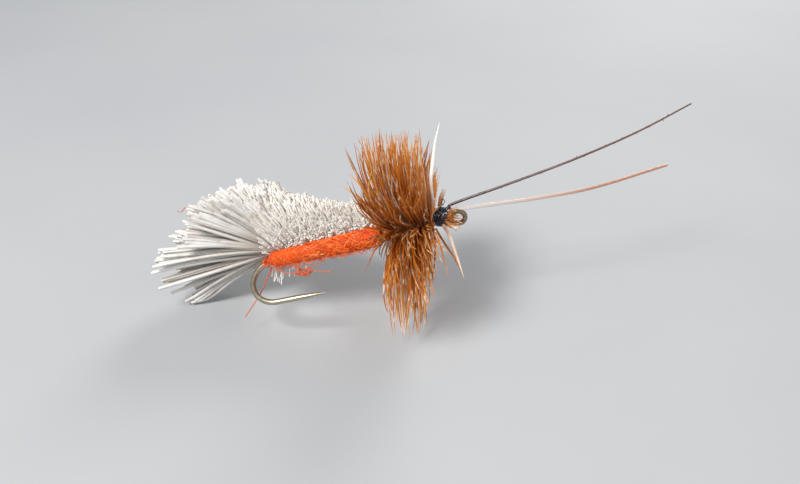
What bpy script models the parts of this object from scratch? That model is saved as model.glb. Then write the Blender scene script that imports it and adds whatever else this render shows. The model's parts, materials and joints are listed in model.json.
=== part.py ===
"""Clipped-hair caddis dry fly on a long-shank barbless hook, in metres, +Z up.

Every piece is modelled in the fly's own frame: X runs along the shank towards the eye, Y to the fly's
left (port), Z out of its back, and lengths there are in millimetres. One empty then lays the whole fly
down as it rests on a flat surface: nose up and rolled onto its left side, so that it leans on its tail
hair and on its hackle.
"""

import math
import random

import bmesh
import bpy
import numpy as np

MM = 0.001

# How the fly lies. The shank's rear end is the origin of the fly's frame.
NOSE_UP = math.radians(14.6)
ROLL = math.radians(65.0)
SHANK_HEIGHT = 5.07

# Hook: straight shank, round bend, straight point leg, ring eye.
WIRE_R = 0.235
BEND_R = 2.1
BEND_X = 1.3
EYE_X = 16.54
EYE_RING_R = 0.57
EYE_WIRE_R = 0.22
EYE_TWIST = math.radians(22.0)
POINT_LEG = 3.9
POINT_TAPER = 2.6
POINT_TIP_R = 0.03
POINT_DROP = 0.12

# Thread work along the shank. GAP keeps neighbours apart.
GAP = 0.02
UNDERBODY_R = 0.33
UNDERBODY_START = 1.35
THREAD_LAYER = 0.06
WRAP_PITCH = 0.25
WRAP_GROOVE = 0.03
BAND_R = 0.47
BAND_WIDTH = 0.5

# Spun hair body: from the tail to the hackle.
BUNCHES = 5
BODY_START = 1.5
BODY_END = 10.3
HAIR_BORE_R = BAND_R + GAP
HAIR_PORT_END = math.radians(18.0)
HAIR_STARBOARD_END = math.radians(165.0)
TUFT_LENGTH = 0.5
TUFT_HALF = 0.16
TUFT_SHORTEST = 0.75
TUFT_LONGEST = 1.05
TUFT_COLUMNS = 16
TUFT_ROWS = 3

# Trimmed surface of the hair at stations along the shank: half width and height above the shank.
TRIM_X = (-10.3, -9.5, -8.5, -7.0, -4.5, -1.5, 0.3, 1.4, 3.3, 6.5, 8.2, 10.3)
TRIM_HALF_WIDTH = (0.3, 1.9, 2.9, 3.9, 4.9, 4.9, 3.7, 2.7, 2.4, 2.4, 2.1, 1.8)
TRIM_HEIGHT = (0.4, 1.0, 2.1, 4.3, 6.9, 8.1, 8.2, 7.7, 6.2, 4.2, 3.6, 3.0)
TRIM_POWER = 2.3

# Tail fan: hairs spread from one root on top of the shank.
FAN_ROOT = (1.35, 0.0, 0.8)
FAN_PLUG_R = 1.35
FAN_PLUG_INNER_R = 0.45
FAN_COLUMNS = 17
FAN_ROWS = 11
FAN_LOW_ANGLE = math.radians(-35.0)
FAN_NEAREST = math.radians(7.0)
FAN_WIDEST = math.radians(92.0)
FAN_WIDEST_BELOW = math.radians(34.0)
FAN_OPENS_FROM = -0.1
FAN_OPENS_OVER = 0.7
FAN_LONGEST = 13.0
FAN_CUT_STEP = 0.05
FAN_SHORTEST = 0.93
FAN_JITTER = 0.05
HAIR_HALF = 0.13

# Belly rope: it lies low on the starboard side, with a groove that clears the shank.
# Each pair is the value at the rear end and at the front end.
ROPE_START = 0.9
ROPE_END = 10.25
ROPE_SIDE = (-0.62, -0.72)
ROPE_DEPTH = (0.48, 0.6)
ROPE_HALF_WIDTH = (0.62, 0.95)
ROPE_HALF_HEIGHT = (0.54, 0.7)
ROPE_GROOVE_R = 0.55
ROPE_END_SHRINK = 0.72
ROPE_BORE_R = 0.14
ROPE_CORE_R = 0.11
ROPE_CORE_STRAIGHT = 0.3
ROPE_TWISTS = 6
ROPE_RIDGE = 0.05
ROPE_TIE_R = 0.6

# Rear knot: thread wraps round the start of the bend, at angles along the bend.
KNOT_MIDDLE = math.radians(25.0)
KNOT_HALF = math.radians(6.0)
KNOT_OUTLINE = (0.33, 0.42, 0.38, 0.44, 0.38, 0.42, 0.33)

# Hackle: two feathers wound side by side.
HACKLE_INNER_R = 0.36
HACKLE_STEM_R = 0.62
HACKLE_STEM_GROOVE = 0.08
HACKLE_R = 8.9
HACKLE_SHORTEST = 0.88
HACKLE_AROUND = 24
HACKLE_ROWS = 7
REAR_FEATHER = (10.85, 12.6)
FRONT_FEATHER = (12.7, 14.45)
HACKLE_SPREAD = math.radians(7.5)
HACKLE_LEAN = math.radians(0.5)
HACKLE_FLOOR_LEAN = math.radians(13.0)
BARB_LEAN_JITTER = 2.0
BARB_TURN_JITTER = 4.0

# Head: wraps that sit high on the shank, because the quill butts lie on top of it.
HEAD_START = 14.6
HEAD_END = 15.84
HEAD_RISE = 0.43
HEAD_INNER_R = 0.69
HEAD_OUTER_R = 0.83
HEAD_EDGE = 0.05
CEMENT_START = 15.3
CEMENT_LENGTH = 0.44
CEMENT_FROM = 200.0
CEMENT_ARC = 90.0
CEMENT_EDGE = 0.03
CEMENT_SWELL = 0.1
THREAD_R = 0.06
SEED = 7


def clear_scene():
    for old in list(bpy.data.objects):
        bpy.data.objects.remove(old, do_unlink=True)


def material(name, colour, roughness, metallic=0.0):
    made = bpy.data.materials.new(name)
    made.use_nodes = True
    shader = made.node_tree.nodes["Principled BSDF"]
    shader.inputs["Base Color"].default_value = (*colour, 1.0)
    shader.inputs["Roughness"].default_value = roughness
    shader.inputs["Metallic"].default_value = metallic
    made.diffuse_color = (*colour, 1.0)
    return made


def lying_attitude():
    """The rotation from the fly's frame to the world: roll about the shank, then nose up."""
    roll = np.array(
        [
            [1.0, 0.0, 0.0],
            [0.0, math.cos(ROLL), math.sin(ROLL)],
            [0.0, -math.sin(ROLL), math.cos(ROLL)],
        ]
    )
    pitch = np.array(
        [
            [math.cos(NOSE_UP), 0.0, -math.sin(NOSE_UP)],
            [0.0, 1.0, 0.0],
            [math.sin(NOSE_UP), 0.0, math.cos(NOSE_UP)],
        ]
    )
    return pitch @ roll


ATTITUDE = lying_attitude()


def above_floor(point, clearance=0.0):
    """The point itself, or the point straight above it at the floor if it would lie lower."""
    height = SHANK_HEIGHT + ATTITUDE[2] @ point
    if height < clearance:
        return point + ATTITUDE[2] * (clearance - height)
    return point


def smooth_step(value):
    value = min(max(value, 0.0), 1.0)
    return value * value * (3.0 - 2.0 * value)


def curve_through(points, count):
    """Points spaced evenly in parameter on a Catmull-Rom curve through the given points."""
    given = np.array(points, float)
    padded = np.vstack([2 * given[0] - given[1], given, 2 * given[-1] - given[-2]])
    route = []
    for step in np.linspace(0.0, len(given) - 1.0, count):
        k = min(int(step), len(given) - 2)
        t = step - k
        a, b, c, d = padded[k : k + 4]
        route.append(
            0.5
            * (
                2 * b
                + (c - a) * t
                + (2 * a - 5 * b + 4 * c - d) * t * t
                + (3 * b - a - 3 * c + d) * t**3
            )
        )
    return np.array(route)


def tube_mesh(route, radii, sides):
    """A closed tube along the route, with a frame carried along it so that it doesn't twist."""
    tangents = np.gradient(route, axis=0)
    tangents /= np.linalg.norm(tangents, axis=1)[:, None]
    side = np.cross(tangents[0], (0.0, 0.0, 1.0))
    if np.linalg.norm(side) < 0.1:
        side = np.cross(tangents[0], (0.0, 1.0, 0.0))
    bm = bmesh.new()
    rings = []
    for centre, tangent, radius in zip(route, tangents, radii):
        side = side - tangent * (side @ tangent)
        side /= np.linalg.norm(side)
        up = np.cross(side, tangent)
        ring = []
        for k in range(sides):
            angle = 2 * math.pi * k / sides
            spoke = side * math.cos(angle) + up * math.sin(angle)
            ring.append(bm.verts.new((centre + spoke * radius) * MM))
        rings.append(ring)
    for first, second in zip(rings, rings[1:]):
        for k in range(sides):
            n = (k + 1) % sides
            bm.faces.new((first[k], first[n], second[n], second[k]))
    bm.faces.new(rings[0][::-1])
    bm.faces.new(rings[-1])
    bmesh.ops.recalc_face_normals(bm, faces=bm.faces[:])
    return bm


def shell_mesh(outer, inner, round_closed):
    """A closed wall between two grids of points. Returns the mesh and its outer faces."""
    bm = bmesh.new()
    rows = len(outer)
    columns = len(outer[0])
    out = [[bm.verts.new(np.array(p) * MM) for p in row] for row in outer]
    into = [[bm.verts.new(np.array(p) * MM) for p in row] for row in inner]
    outer_faces = []
    last_row = rows if round_closed else rows - 1
    for i in range(last_row):
        n = (i + 1) % rows
        for j in range(columns - 1):
            outer_faces.append(bm.faces.new((out[i][j], out[n][j], out[n][j + 1], out[i][j + 1])))
            bm.faces.new((into[i][j + 1], into[n][j + 1], into[n][j], into[i][j]))
        bm.faces.new((into[i][0], into[n][0], out[n][0], out[i][0]))
        bm.faces.new((out[i][-1], out[n][-1], into[n][-1], into[i][-1]))
    if not round_closed:
        for i, order in ((0, 1), (rows - 1, -1)):
            for j in range(columns - 1):
                corners = (out[i][j], out[i][j + 1], into[i][j + 1], into[i][j])
                bm.faces.new(corners[::order])
    bmesh.ops.recalc_face_normals(bm, faces=bm.faces[:])
    return bm, outer_faces


def ring_mesh(profile, sides, inner_r, rise=0.0, inner_rise=0.0):
    """A sleeve round the shank: profile lists (x, outer radius), and rise lifts it off the shank's axis."""
    outer = []
    inner = []
    for k in range(sides):
        angle = 2 * math.pi * k / sides
        spoke = np.array([0.0, math.cos(angle), math.sin(angle)])
        lift = np.array([0.0, 0.0, rise])
        inner_lift = np.array([0.0, 0.0, inner_rise])
        outer.append([np.array([x, 0.0, 0.0]) + lift + spoke * r for x, r in profile])
        inner.append([np.array([x, 0.0, 0.0]) + inner_lift + spoke * inner_r for x, r in profile])
    return shell_mesh(outer, inner, True)


def add_tufts(bm, faces, tip_of, half):
    """Draws each face out into a blunt fibre whose cut end sits at tip_of(face centre)."""
    drawn = bmesh.ops.extrude_discrete_faces(bm, faces=faces)["faces"]
    for face in drawn:
        centre = face.calc_center_median()
        tip = tip_of(np.array(centre) / MM) * MM
        for vert in face.verts:
            spoke = vert.co - centre
            vert.co = tip + np.array(spoke.normalized()) * half * MM


def add_barbs(bm, faces, tip_of):
    """Draws each face out into a pointed fibre with its tip at tip_of(face centre)."""
    for point in bmesh.ops.poke(bm, faces=faces)["verts"]:
        point.co = tip_of(np.array(point.co) / MM) * MM


def place(name, bm, look, rig, sharp_deg=40.0):
    mesh = bpy.data.meshes.new(name)
    bm.to_mesh(mesh)
    bm.free()
    mesh.shade_smooth()
    mesh.set_sharp_from_angle(angle=math.radians(sharp_deg))
    mesh.materials.append(look)
    made = bpy.data.objects.new(name, mesh)
    bpy.context.scene.collection.objects.link(made)
    made.parent = rig
    return made


def add_hook(rig, look):
    """Shank, bend and point leg are one tube. The eye ring is joined to its front end."""
    route = [(x, 0.0, 0.0) for x in (EYE_X - EYE_RING_R, EYE_X - 2.0, 8.0, BEND_X + 0.6)]
    bend_steps = 18
    for k in range(bend_steps + 1):
        angle = math.pi * k / bend_steps
        route.append((BEND_X - BEND_R * math.sin(angle), 0.0, BEND_R * (math.cos(angle) - 1.0)))
    leg_steps = 9
    for k in range(1, leg_steps + 1):
        along = k / leg_steps
        route.append((BEND_X + POINT_LEG * along, 0.0, -2 * BEND_R - POINT_DROP * along))
    radii = []
    for k in range(len(route)):
        left = (len(route) - 1 - k) / leg_steps * POINT_LEG
        taper = min(left / POINT_TAPER, 1.0)
        radii.append(POINT_TIP_R + (WIRE_R - POINT_TIP_R) * math.sin(taper * math.pi / 2))
    hook = place("hook", tube_mesh(np.array(route), radii, 10), look, rig)

    bpy.ops.mesh.primitive_torus_add(
        major_radius=EYE_RING_R * MM,
        minor_radius=EYE_WIRE_R * MM,
        major_segments=20,
        minor_segments=8,
        location=(EYE_X * MM, 0.0, 0.0),
        rotation=(-EYE_TWIST, 0.0, 0.0),
    )
    ring = bpy.context.object
    ring.name = "eye_ring_tool"
    ring.parent = rig
    ring.hide_render = True
    ring.display_type = "WIRE"
    join = hook.modifiers.new("eye ring", "BOOLEAN")
    join.operation = "UNION"
    join.solver = "EXACT"
    join.object = ring


def band_profile(start, end, inner, outer):
    """Thread wraps side by side: a ridge for each turn."""
    turns = max(2, round((end - start) / WRAP_PITCH))
    profile = [(start, inner)]
    for k in range(turns):
        crest = start + (k + 0.5) * (end - start) / turns
        profile.append((crest, outer))
        if k < turns - 1:
            profile.append((start + (k + 1) * (end - start) / turns, outer - WRAP_GROOVE))
    profile.append((end, inner))
    return profile


def add_underbody(rig, look):
    profile = [(UNDERBODY_START, UNDERBODY_R), (6.0, UNDERBODY_R), (HEAD_START - GAP, UNDERBODY_R)]
    bm, _ = ring_mesh(profile, 12, WIRE_R + GAP)
    place("thread_underbody", bm, look, rig)


def bunch_edges():
    return [BODY_START + (BODY_END - BODY_START) * k / BUNCHES for k in range(BUNCHES + 1)]


def add_cinch_bands(rig, look):
    """The thread band that cinches each spun bunch to the shank, under the hair."""
    edges = bunch_edges()
    half = BAND_WIDTH / 2
    for k in range(BUNCHES):
        middle = (edges[k] + edges[k + 1]) / 2
        profile = band_profile(middle - half, middle + half, UNDERBODY_R + THREAD_LAYER, BAND_R)
        bm, _ = ring_mesh(profile, 12, UNDERBODY_R + GAP)
        place(f"cinch_band_{k + 1}", bm, look, rig)


def trimmed(x):
    """Half width and height of the trimmed hair at x."""
    return np.interp(x, TRIM_X, TRIM_HALF_WIDTH), np.interp(x, TRIM_X, TRIM_HEIGHT)


def trimmed_radius(x, angle):
    """Distance from the shank to the trimmed surface, at an angle up from port."""
    width, height = trimmed(x)
    side = (abs(math.cos(angle)) / width) ** TRIM_POWER
    rise = (abs(math.sin(angle)) / height) ** TRIM_POWER
    return (side + rise) ** (-1 / TRIM_POWER)


def add_bunch(rig, look, index, start, end, dice):
    """A spun bunch stands over the top and sides of the shank and is clipped flat underneath."""
    outer = []
    inner = []
    for k in range(TUFT_COLUMNS + 1):
        angle = HAIR_PORT_END + (HAIR_STARBOARD_END - HAIR_PORT_END) * k / TUFT_COLUMNS
        spoke = np.array([0.0, math.cos(angle), math.sin(angle)])
        outer_line = []
        inner_line = []
        for j in range(TUFT_ROWS + 1):
            x = start + (end - start) * j / TUFT_ROWS
            reach = trimmed_radius(x, angle) - TUFT_LENGTH
            outer_line.append(np.array([x, 0.0, 0.0]) + spoke * reach)
            inner_line.append(np.array([x, 0.0, 0.0]) + spoke * HAIR_BORE_R)
        outer.append(outer_line)
        inner.append(inner_line)
    bm, faces = shell_mesh(outer, inner, False)

    def tuft_tip(centre):
        reach = np.hypot(centre[1], centre[2])
        out = centre * (0.0, 1.0, 1.0) / reach
        length = TUFT_LENGTH * dice.uniform(TUFT_SHORTEST, TUFT_LONGEST)
        return above_floor(centre + out * length)

    add_tufts(bm, faces, tuft_tip, TUFT_HALF)
    place(f"hair_bunch_{index}", bm, look, rig, 20.0)


def trimmed_reach(root, way):
    """How far a hair from root, pointing this way, runs before the scissors cut it."""
    reach = FAN_PLUG_R
    while reach < FAN_LONGEST:
        point = root + way * reach
        width, height = trimmed(point[0])
        cut = (point[1] / width) ** 2 + (max(point[2], 0.0) / height) ** 2
        if point[0] < TRIM_X[0] or cut > 1.0:
            break
        reach += FAN_CUT_STEP
    return reach


def widest_spread(angle):
    """The fan opens fully above the shank and stays narrow beside and below it."""
    opened = smooth_step((math.sin(angle) - FAN_OPENS_FROM) / FAN_OPENS_OVER)
    return FAN_WIDEST_BELOW + (FAN_WIDEST - FAN_WIDEST_BELOW) * opened


def add_tail_fan(rig, look, dice):
    """Long hairs that fan out backwards and upwards from a plug on top of the shank."""
    root = np.array(FAN_ROOT)
    high = math.pi - FAN_LOW_ANGLE
    outer = []
    inner = []
    for k in range(FAN_COLUMNS + 1):
        angle = FAN_LOW_ANGLE + (high - FAN_LOW_ANGLE) * k / FAN_COLUMNS
        outer_line = []
        inner_line = []
        for j in range(FAN_ROWS + 1):
            spread = FAN_NEAREST + (widest_spread(angle) - FAN_NEAREST) * j / FAN_ROWS
            aside = math.sin(spread)
            way = np.array([-math.cos(spread), aside * math.cos(angle), aside * math.sin(angle)])
            outer_line.append(root + way * FAN_PLUG_R)
            inner_line.append(root + way * FAN_PLUG_INNER_R)
        outer.append(outer_line)
        inner.append(inner_line)
    bm, faces = shell_mesh(outer, inner, False)

    def hair_tip(centre):
        way = (centre - root) / np.linalg.norm(centre - root)
        openness = widest_spread(math.atan2(way[2], way[1])) / FAN_WIDEST
        jitter = FAN_JITTER * openness**2 * math.hypot(way[1], way[2])
        way = way + np.array([0.0, dice.uniform(-jitter, jitter), dice.uniform(-jitter, jitter)])
        way = way / np.linalg.norm(way)
        reach = trimmed_reach(root, way) * dice.uniform(FAN_SHORTEST, 1.0)
        return above_floor(root + way * reach, HAIR_HALF)

    add_tufts(bm, faces, hair_tip, HAIR_HALF)
    place("tail_fan", bm, look, rig, 20.0)


def along_rope(pair, x):
    return pair[0] + (pair[1] - pair[0]) * (x - ROPE_START) / (ROPE_END - ROPE_START)


def rope_centre(x):
    return np.array([x, along_rope(ROPE_SIDE, x), -along_rope(ROPE_DEPTH, x)])


def clear_of_shank(centre, point):
    """Draws a point of the rope's outline in towards the rope's centre until it clears the shank."""
    way = point - centre
    reach = np.linalg.norm(way)
    way = way / reach
    nearest = -(centre @ way)
    missed_by = math.sqrt(centre @ centre - nearest**2)
    if nearest > 0.0 and missed_by < ROPE_GROOVE_R:
        reach = min(reach, nearest - math.sqrt(ROPE_GROOVE_R**2 - missed_by**2))
    return centre + way * reach


def rope_section(x, sides, shrink):
    """Points of the rope's outline at x: an ellipse with a twist ridge and the shank's groove."""
    half_width = along_rope(ROPE_HALF_WIDTH, x) * shrink
    half_height = along_rope(ROPE_HALF_HEIGHT, x) * shrink
    centre = rope_centre(x)[1:]
    turn = 2 * math.pi * ROPE_TWISTS * (x - ROPE_START) / (ROPE_END - ROPE_START)
    points = []
    for k in range(sides):
        angle = 2 * math.pi * k / sides
        ridge = 1.0 + ROPE_RIDGE * math.cos(2 * angle - turn)
        spoke = np.array([half_width * math.cos(angle), half_height * math.sin(angle)])
        y, z = clear_of_shank(centre, centre + spoke * ridge)
        points.append(np.array([x, y, z]))
    return points


def add_rope(rig, look):
    sides = 18
    stations = 19
    outer = [[] for _ in range(sides)]
    inner = [[] for _ in range(sides)]
    for j in range(stations):
        x = ROPE_START + (ROPE_END - ROPE_START) * j / (stations - 1)
        ends = min(j, stations - 1 - j)
        shrink = ROPE_END_SHRINK if ends == 0 else 1.0
        section = rope_section(x, sides, shrink)
        for k in range(sides):
            angle = 2 * math.pi * k / sides
            outer[k].append(section[k])
            bore = np.array([0.0, math.cos(angle), math.sin(angle)]) * ROPE_BORE_R
            inner[k].append(rope_centre(x) + bore)
    bm, _ = shell_mesh(outer, inner, True)
    place("belly_rope", bm, look, rig, 30.0)


def add_rope_core(rig, look):
    """The thread that the dubbing is spun on runs right through the rope and out of both ends."""
    rear = rope_centre(ROPE_START)
    front = rope_centre(ROPE_END)
    route = [rear + (-0.26, 0.1, 0.1), rear + (-0.08, 0.01, 0.01)]
    straight = ROPE_END - ROPE_START - 2 * ROPE_CORE_STRAIGHT
    for k in range(7):
        route.append(rope_centre(ROPE_START + ROPE_CORE_STRAIGHT + straight * k / 6))
    route += [front + (0.1, 0.0, 0.0), front + (0.32, 0.08, 0.06)]
    core = curve_through(route, 28)
    place("rope_core_thread", tube_mesh(core, [ROPE_CORE_R] * len(core), 6), look, rig)


def add_rear_knot(rig, look):
    """Thread wraps round the start of the bend, which hold the rope's rear end."""
    sides = 12
    outer = [[] for _ in range(sides)]
    inner = [[] for _ in range(sides)]
    for j, outer_r in enumerate(KNOT_OUTLINE):
        turn = KNOT_MIDDLE + KNOT_HALF * (2 * j / (len(KNOT_OUTLINE) - 1) - 1)
        centre = np.array([BEND_X - BEND_R * math.sin(turn), 0.0, BEND_R * (math.cos(turn) - 1.0)])
        up = np.array([math.sin(turn), 0.0, -math.cos(turn)])
        for k in range(sides):
            angle = 2 * math.pi * k / sides
            spoke = np.array([0.0, 1.0, 0.0]) * math.cos(angle) + up * math.sin(angle)
            outer[k].append(centre + spoke * outer_r)
            inner[k].append(centre + spoke * (WIRE_R + GAP))
    bm, _ = shell_mesh(outer, inner, True)
    place("rear_tie_knot", bm, look, rig)


def add_rope_tie_down(rig, look):
    """Thread wraps over the front end of the rope's core, between the hair and the hackle."""
    end = REAR_FEATHER[0] - 0.05
    profile = band_profile(ROPE_END + 0.1, end, UNDERBODY_R + THREAD_LAYER, ROPE_TIE_R)
    bm, _ = ring_mesh(profile, 12, UNDERBODY_R + GAP)
    place("rope_tie_down", bm, look, rig)


def add_feather(rig, look, name, span, place_in_hackle, dice):
    """Turns of feather stem round the shank, with barbs that stand out all round."""
    start, end = span
    profile = []
    for j in range(HACKLE_ROWS + 1):
        x = start + (end - start) * j / HACKLE_ROWS
        crest = HACKLE_STEM_R if j % 2 else HACKLE_STEM_R - HACKLE_STEM_GROOVE
        profile.append((x, crest))
    bm, faces = ring_mesh(profile, HACKLE_AROUND, HACKLE_INNER_R)
    first, last = place_in_hackle

    def barb_tip(centre):
        angle = math.atan2(centre[2], centre[1])
        along = (centre[0] - start) / (end - start)
        way_out = ATTITUDE[2] @ np.array([0.0, math.cos(angle), math.sin(angle)])
        downward = smooth_step((0.2 - way_out) / 1.1)
        spread = HACKLE_SPREAD * (2 * (first + (last - first) * along) - 1)
        stray = math.radians(dice.uniform(-BARB_LEAN_JITTER, BARB_LEAN_JITTER))
        lean = -HACKLE_LEAN - HACKLE_FLOOR_LEAN * downward + spread + stray
        reach = HACKLE_R * dice.uniform(HACKLE_SHORTEST, 1.0)
        angle += math.radians(dice.uniform(-BARB_TURN_JITTER, BARB_TURN_JITTER))
        spoke = np.array([0.0, math.cos(angle), math.sin(angle)])
        return above_floor(np.array([centre[0] + math.sin(lean) * reach, 0.0, 0.0]) + spoke * reach)

    add_barbs(bm, faces, barb_tip)
    place(name, bm, look, rig, 30.0)


def add_strand(rig, look, name, points, radii, count, sides=6):
    """A thread, quill or stem: a round strand on a smooth curve, with radii from its start to its end."""
    route = curve_through(points, count)
    taper = np.interp(np.linspace(0, 1, count), np.linspace(0, 1, len(radii)), radii)
    place(name, tube_mesh(route, taper, sides), look, rig)


def add_antennae(rig, pale, dark):
    add_strand(
        rig,
        pale,
        "antenna_port",
        [
            (14.75, 0.2, 0.86),
            (15.26, 0.2, 0.88),
            (15.95, 0.27, 0.92),
            (16.5, 0.42, 1.16),
            (19.6, 1.5, 1.62),
            (23.7, 2.8, 2.15),
            (28.1, 4.2, 3.02),
            (34.6, 6.2, 5.1),
        ],
        (0.12, 0.13, 0.14, 0.16, 0.15, 0.13, 0.11, 0.1),
        22,
    )
    add_strand(
        rig,
        dark,
        "antenna_starboard",
        [
            (14.75, -0.2, 0.86),
            (15.26, -0.2, 0.88),
            (15.95, -0.27, 0.93),
            (16.5, -0.36, 1.2),
            (21.0, -0.9, 1.45),
            (26.3, -1.65, 1.76),
            (31.5, -2.4, 2.4),
            (36.0, -3.2, 3.3),
        ],
        (0.11, 0.12, 0.12, 0.12, 0.11, 0.1, 0.08, 0.07),
        22,
    )


def add_head(rig, thread, varnish):
    """Black wraps over the butts, and a drop of dried varnish on their lower starboard side."""
    profile = band_profile(HEAD_START, HEAD_END, HEAD_INNER_R + HEAD_EDGE, HEAD_OUTER_R)
    bm, _ = ring_mesh(profile, 18, HEAD_INNER_R, HEAD_RISE, HEAD_RISE)
    place("head_thread", bm, thread, rig)

    sheet_outer = []
    sheet_inner = []
    columns = 8
    for k in range(columns + 1):
        angle = math.radians(CEMENT_FROM + CEMENT_ARC * k / columns)
        spoke = np.array([0.0, math.cos(angle), math.sin(angle)])
        outer_line = []
        inner_line = []
        for j in range(5):
            x = CEMENT_START + CEMENT_LENGTH * j / 4
            swell = CEMENT_SWELL * math.sin(math.pi * k / columns) * math.sin(math.pi * j / 4)
            base = np.array([x, 0.0, HEAD_RISE])
            outer_line.append(base + spoke * (HEAD_OUTER_R + GAP + CEMENT_EDGE + swell))
            inner_line.append(base + spoke * (HEAD_OUTER_R + GAP))
        sheet_outer.append(outer_line)
        sheet_inner.append(inner_line)
    bm, _ = shell_mesh(sheet_outer, sheet_inner, False)
    place("head_cement", bm, varnish, rig)


def add_trimmings(rig, quill, white_quill, thread):
    """Trimmed butts at the head, the bare stem tip in the hackle, and loose thread ends."""
    add_strand(
        rig,
        quill,
        "hackle_butt_top",
        [(15.24, -0.3, 1.47), (15.5, -0.38, 1.98), (15.86, -0.5, 2.63)],
        (0.15, 0.18, 0.15),
        7,
    )
    add_strand(
        rig,
        quill,
        "hackle_butt_under",
        [(15.66, -0.32, -0.66), (15.95, -0.45, -1.05), (16.38, -0.6, -1.56)],
        (0.1, 0.12, 0.1),
        7,
    )
    add_strand(
        rig,
        white_quill,
        "feather_stem_tip",
        [
            (14.75, -0.88, 0.79),
            (14.98, -1.9, 1.05),
            (15.17, -3.0, 1.85),
            (15.6, -3.6, 3.07),
            (16.17, -4.2, 4.8),
            (16.95, -5.0, 6.35),
        ],
        (0.07, 0.1, 0.14, 0.16, 0.11, 0.03),
        16,
    )
    add_strand(
        rig,
        thread,
        "thread_tangle",
        [
            (2.8, -0.3, -1.9),
            (3.4, -0.5, -2.35),
            (4.0, -0.1, -2.2),
            (3.7, 0.2, -1.95),
            (3.2, -0.1, -2.15),
            (3.6, -0.5, -2.7),
            (4.4, -0.3, -2.9),
            (4.6, 0.0, -2.4),
            (4.2, -0.6, -2.05),
            (4.9, -0.6, -2.45),
            (5.95, -0.5, -2.86),
        ],
        (THREAD_R, THREAD_R),
        40,
        5,
    )
    add_strand(
        rig,
        thread,
        "thread_whisker",
        [
            (0.66, 0.45, -0.5),
            (0.21, 0.5, -1.4),
            (-0.41, 0.9, -2.1),
            (-1.2, 1.2, -3.1),
            (-2.1, 1.5, -4.0),
        ],
        (THREAD_R, 0.04),
        16,
        5,
    )
    add_strand(
        rig,
        thread,
        "tail_thread_curl",
        [(-5.0, -2.3, 5.2), (-5.6, -2.2, 5.7), (-6.1, -2.0, 5.5), (-6.6, -2.1, 5.75)],
        (THREAD_R, 0.04),
        12,
        5,
    )


def centre_on_floor(rig):
    """Moves the rig level, so that the whole fly's box is centred over the origin."""
    bpy.context.view_layer.update()
    graph = bpy.context.evaluated_depsgraph_get()
    corners = []
    for made in bpy.context.scene.objects:
        if made.type != "MESH" or made.hide_render:
            continue
        evaluated = made.evaluated_get(graph)
        corners += [made.matrix_world @ vert.co for vert in evaluated.to_mesh().vertices]
        evaluated.to_mesh_clear()
    points = np.array(corners)
    low = points.min(axis=0)
    high = points.max(axis=0)
    rig.location.x -= (low[0] + high[0]) / 2
    rig.location.y -= (low[1] + high[1]) / 2
    rig.location.z -= low[2]


def main():
    clear_scene()
    rig = bpy.data.objects.new("fly_rig", None)
    bpy.context.scene.collection.objects.link(rig)
    rig.location = (0.0, 0.0, SHANK_HEIGHT * MM)
    rig.rotation_euler = (-ROLL, -NOSE_UP, 0.0)

    hair = material("clipped_hair", (0.80, 0.77, 0.71), 0.55)
    thread = material("orange_thread", (0.62, 0.10, 0.02), 0.5)
    black = material("black_thread", (0.012, 0.011, 0.012), 0.35)
    ginger = material("ginger_hackle", (0.50, 0.20, 0.05), 0.35)
    pale_quill = material("pale_quill", (0.62, 0.45, 0.34), 0.3)
    dark_quill = material("dark_quill", (0.12, 0.04, 0.03), 0.35)
    dice = random.Random(SEED)

    add_hook(rig, material("hook_wire", (0.50, 0.46, 0.34), 0.28, 1.0))
    add_underbody(rig, thread)
    add_cinch_bands(rig, material("white_thread", (0.75, 0.73, 0.68), 0.5))
    edges = bunch_edges()
    for k in range(BUNCHES):
        add_bunch(rig, hair, k + 1, edges[k], edges[k + 1] - 2 * GAP, dice)
    add_tail_fan(rig, hair, dice)
    add_rope(rig, material("orange_dubbing", (0.85, 0.13, 0.01), 0.8))
    add_rope_core(rig, thread)
    add_rear_knot(rig, thread)
    add_rope_tie_down(rig, thread)
    add_feather(rig, ginger, "hackle_feather_rear", REAR_FEATHER, (0.0, 0.5), dice)
    add_feather(rig, ginger, "hackle_feather_front", FRONT_FEATHER, (0.5, 1.0), dice)
    add_antennae(rig, pale_quill, dark_quill)
    add_head(rig, black, material("head_varnish", (0.02, 0.02, 0.025), 0.08))
    add_trimmings(rig, ginger, material("white_quill", (0.85, 0.82, 0.76), 0.2), thread)
    centre_on_floor(rig)


main()
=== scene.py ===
"""The looks of a clipped-hair caddis dry fly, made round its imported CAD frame.

Hair, hackle and dubbing are thousands of separate fibres. They are laid out in the fly's own frame, in
millimetres: X runs along the shank towards the eye, Y to the fly's left (port), Z out of its back. FLY
takes that frame to the row frame, in metres, through the hook eye's mount.
"""

import json
import math

import bpy
import numpy as np
from mathutils import Matrix, Vector


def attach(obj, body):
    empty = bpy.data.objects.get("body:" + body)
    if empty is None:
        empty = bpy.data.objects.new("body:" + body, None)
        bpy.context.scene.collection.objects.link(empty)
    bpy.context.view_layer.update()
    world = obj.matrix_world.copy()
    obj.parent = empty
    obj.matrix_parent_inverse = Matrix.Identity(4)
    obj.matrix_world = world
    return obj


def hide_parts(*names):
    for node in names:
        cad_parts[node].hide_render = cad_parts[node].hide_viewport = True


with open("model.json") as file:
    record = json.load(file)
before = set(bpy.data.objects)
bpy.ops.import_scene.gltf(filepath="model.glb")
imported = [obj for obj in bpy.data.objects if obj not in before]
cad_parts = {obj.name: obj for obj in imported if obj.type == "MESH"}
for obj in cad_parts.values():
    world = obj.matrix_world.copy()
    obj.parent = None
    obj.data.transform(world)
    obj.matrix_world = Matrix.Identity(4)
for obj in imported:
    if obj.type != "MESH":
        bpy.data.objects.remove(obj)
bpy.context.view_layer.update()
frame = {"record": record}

MM = 0.001

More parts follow.
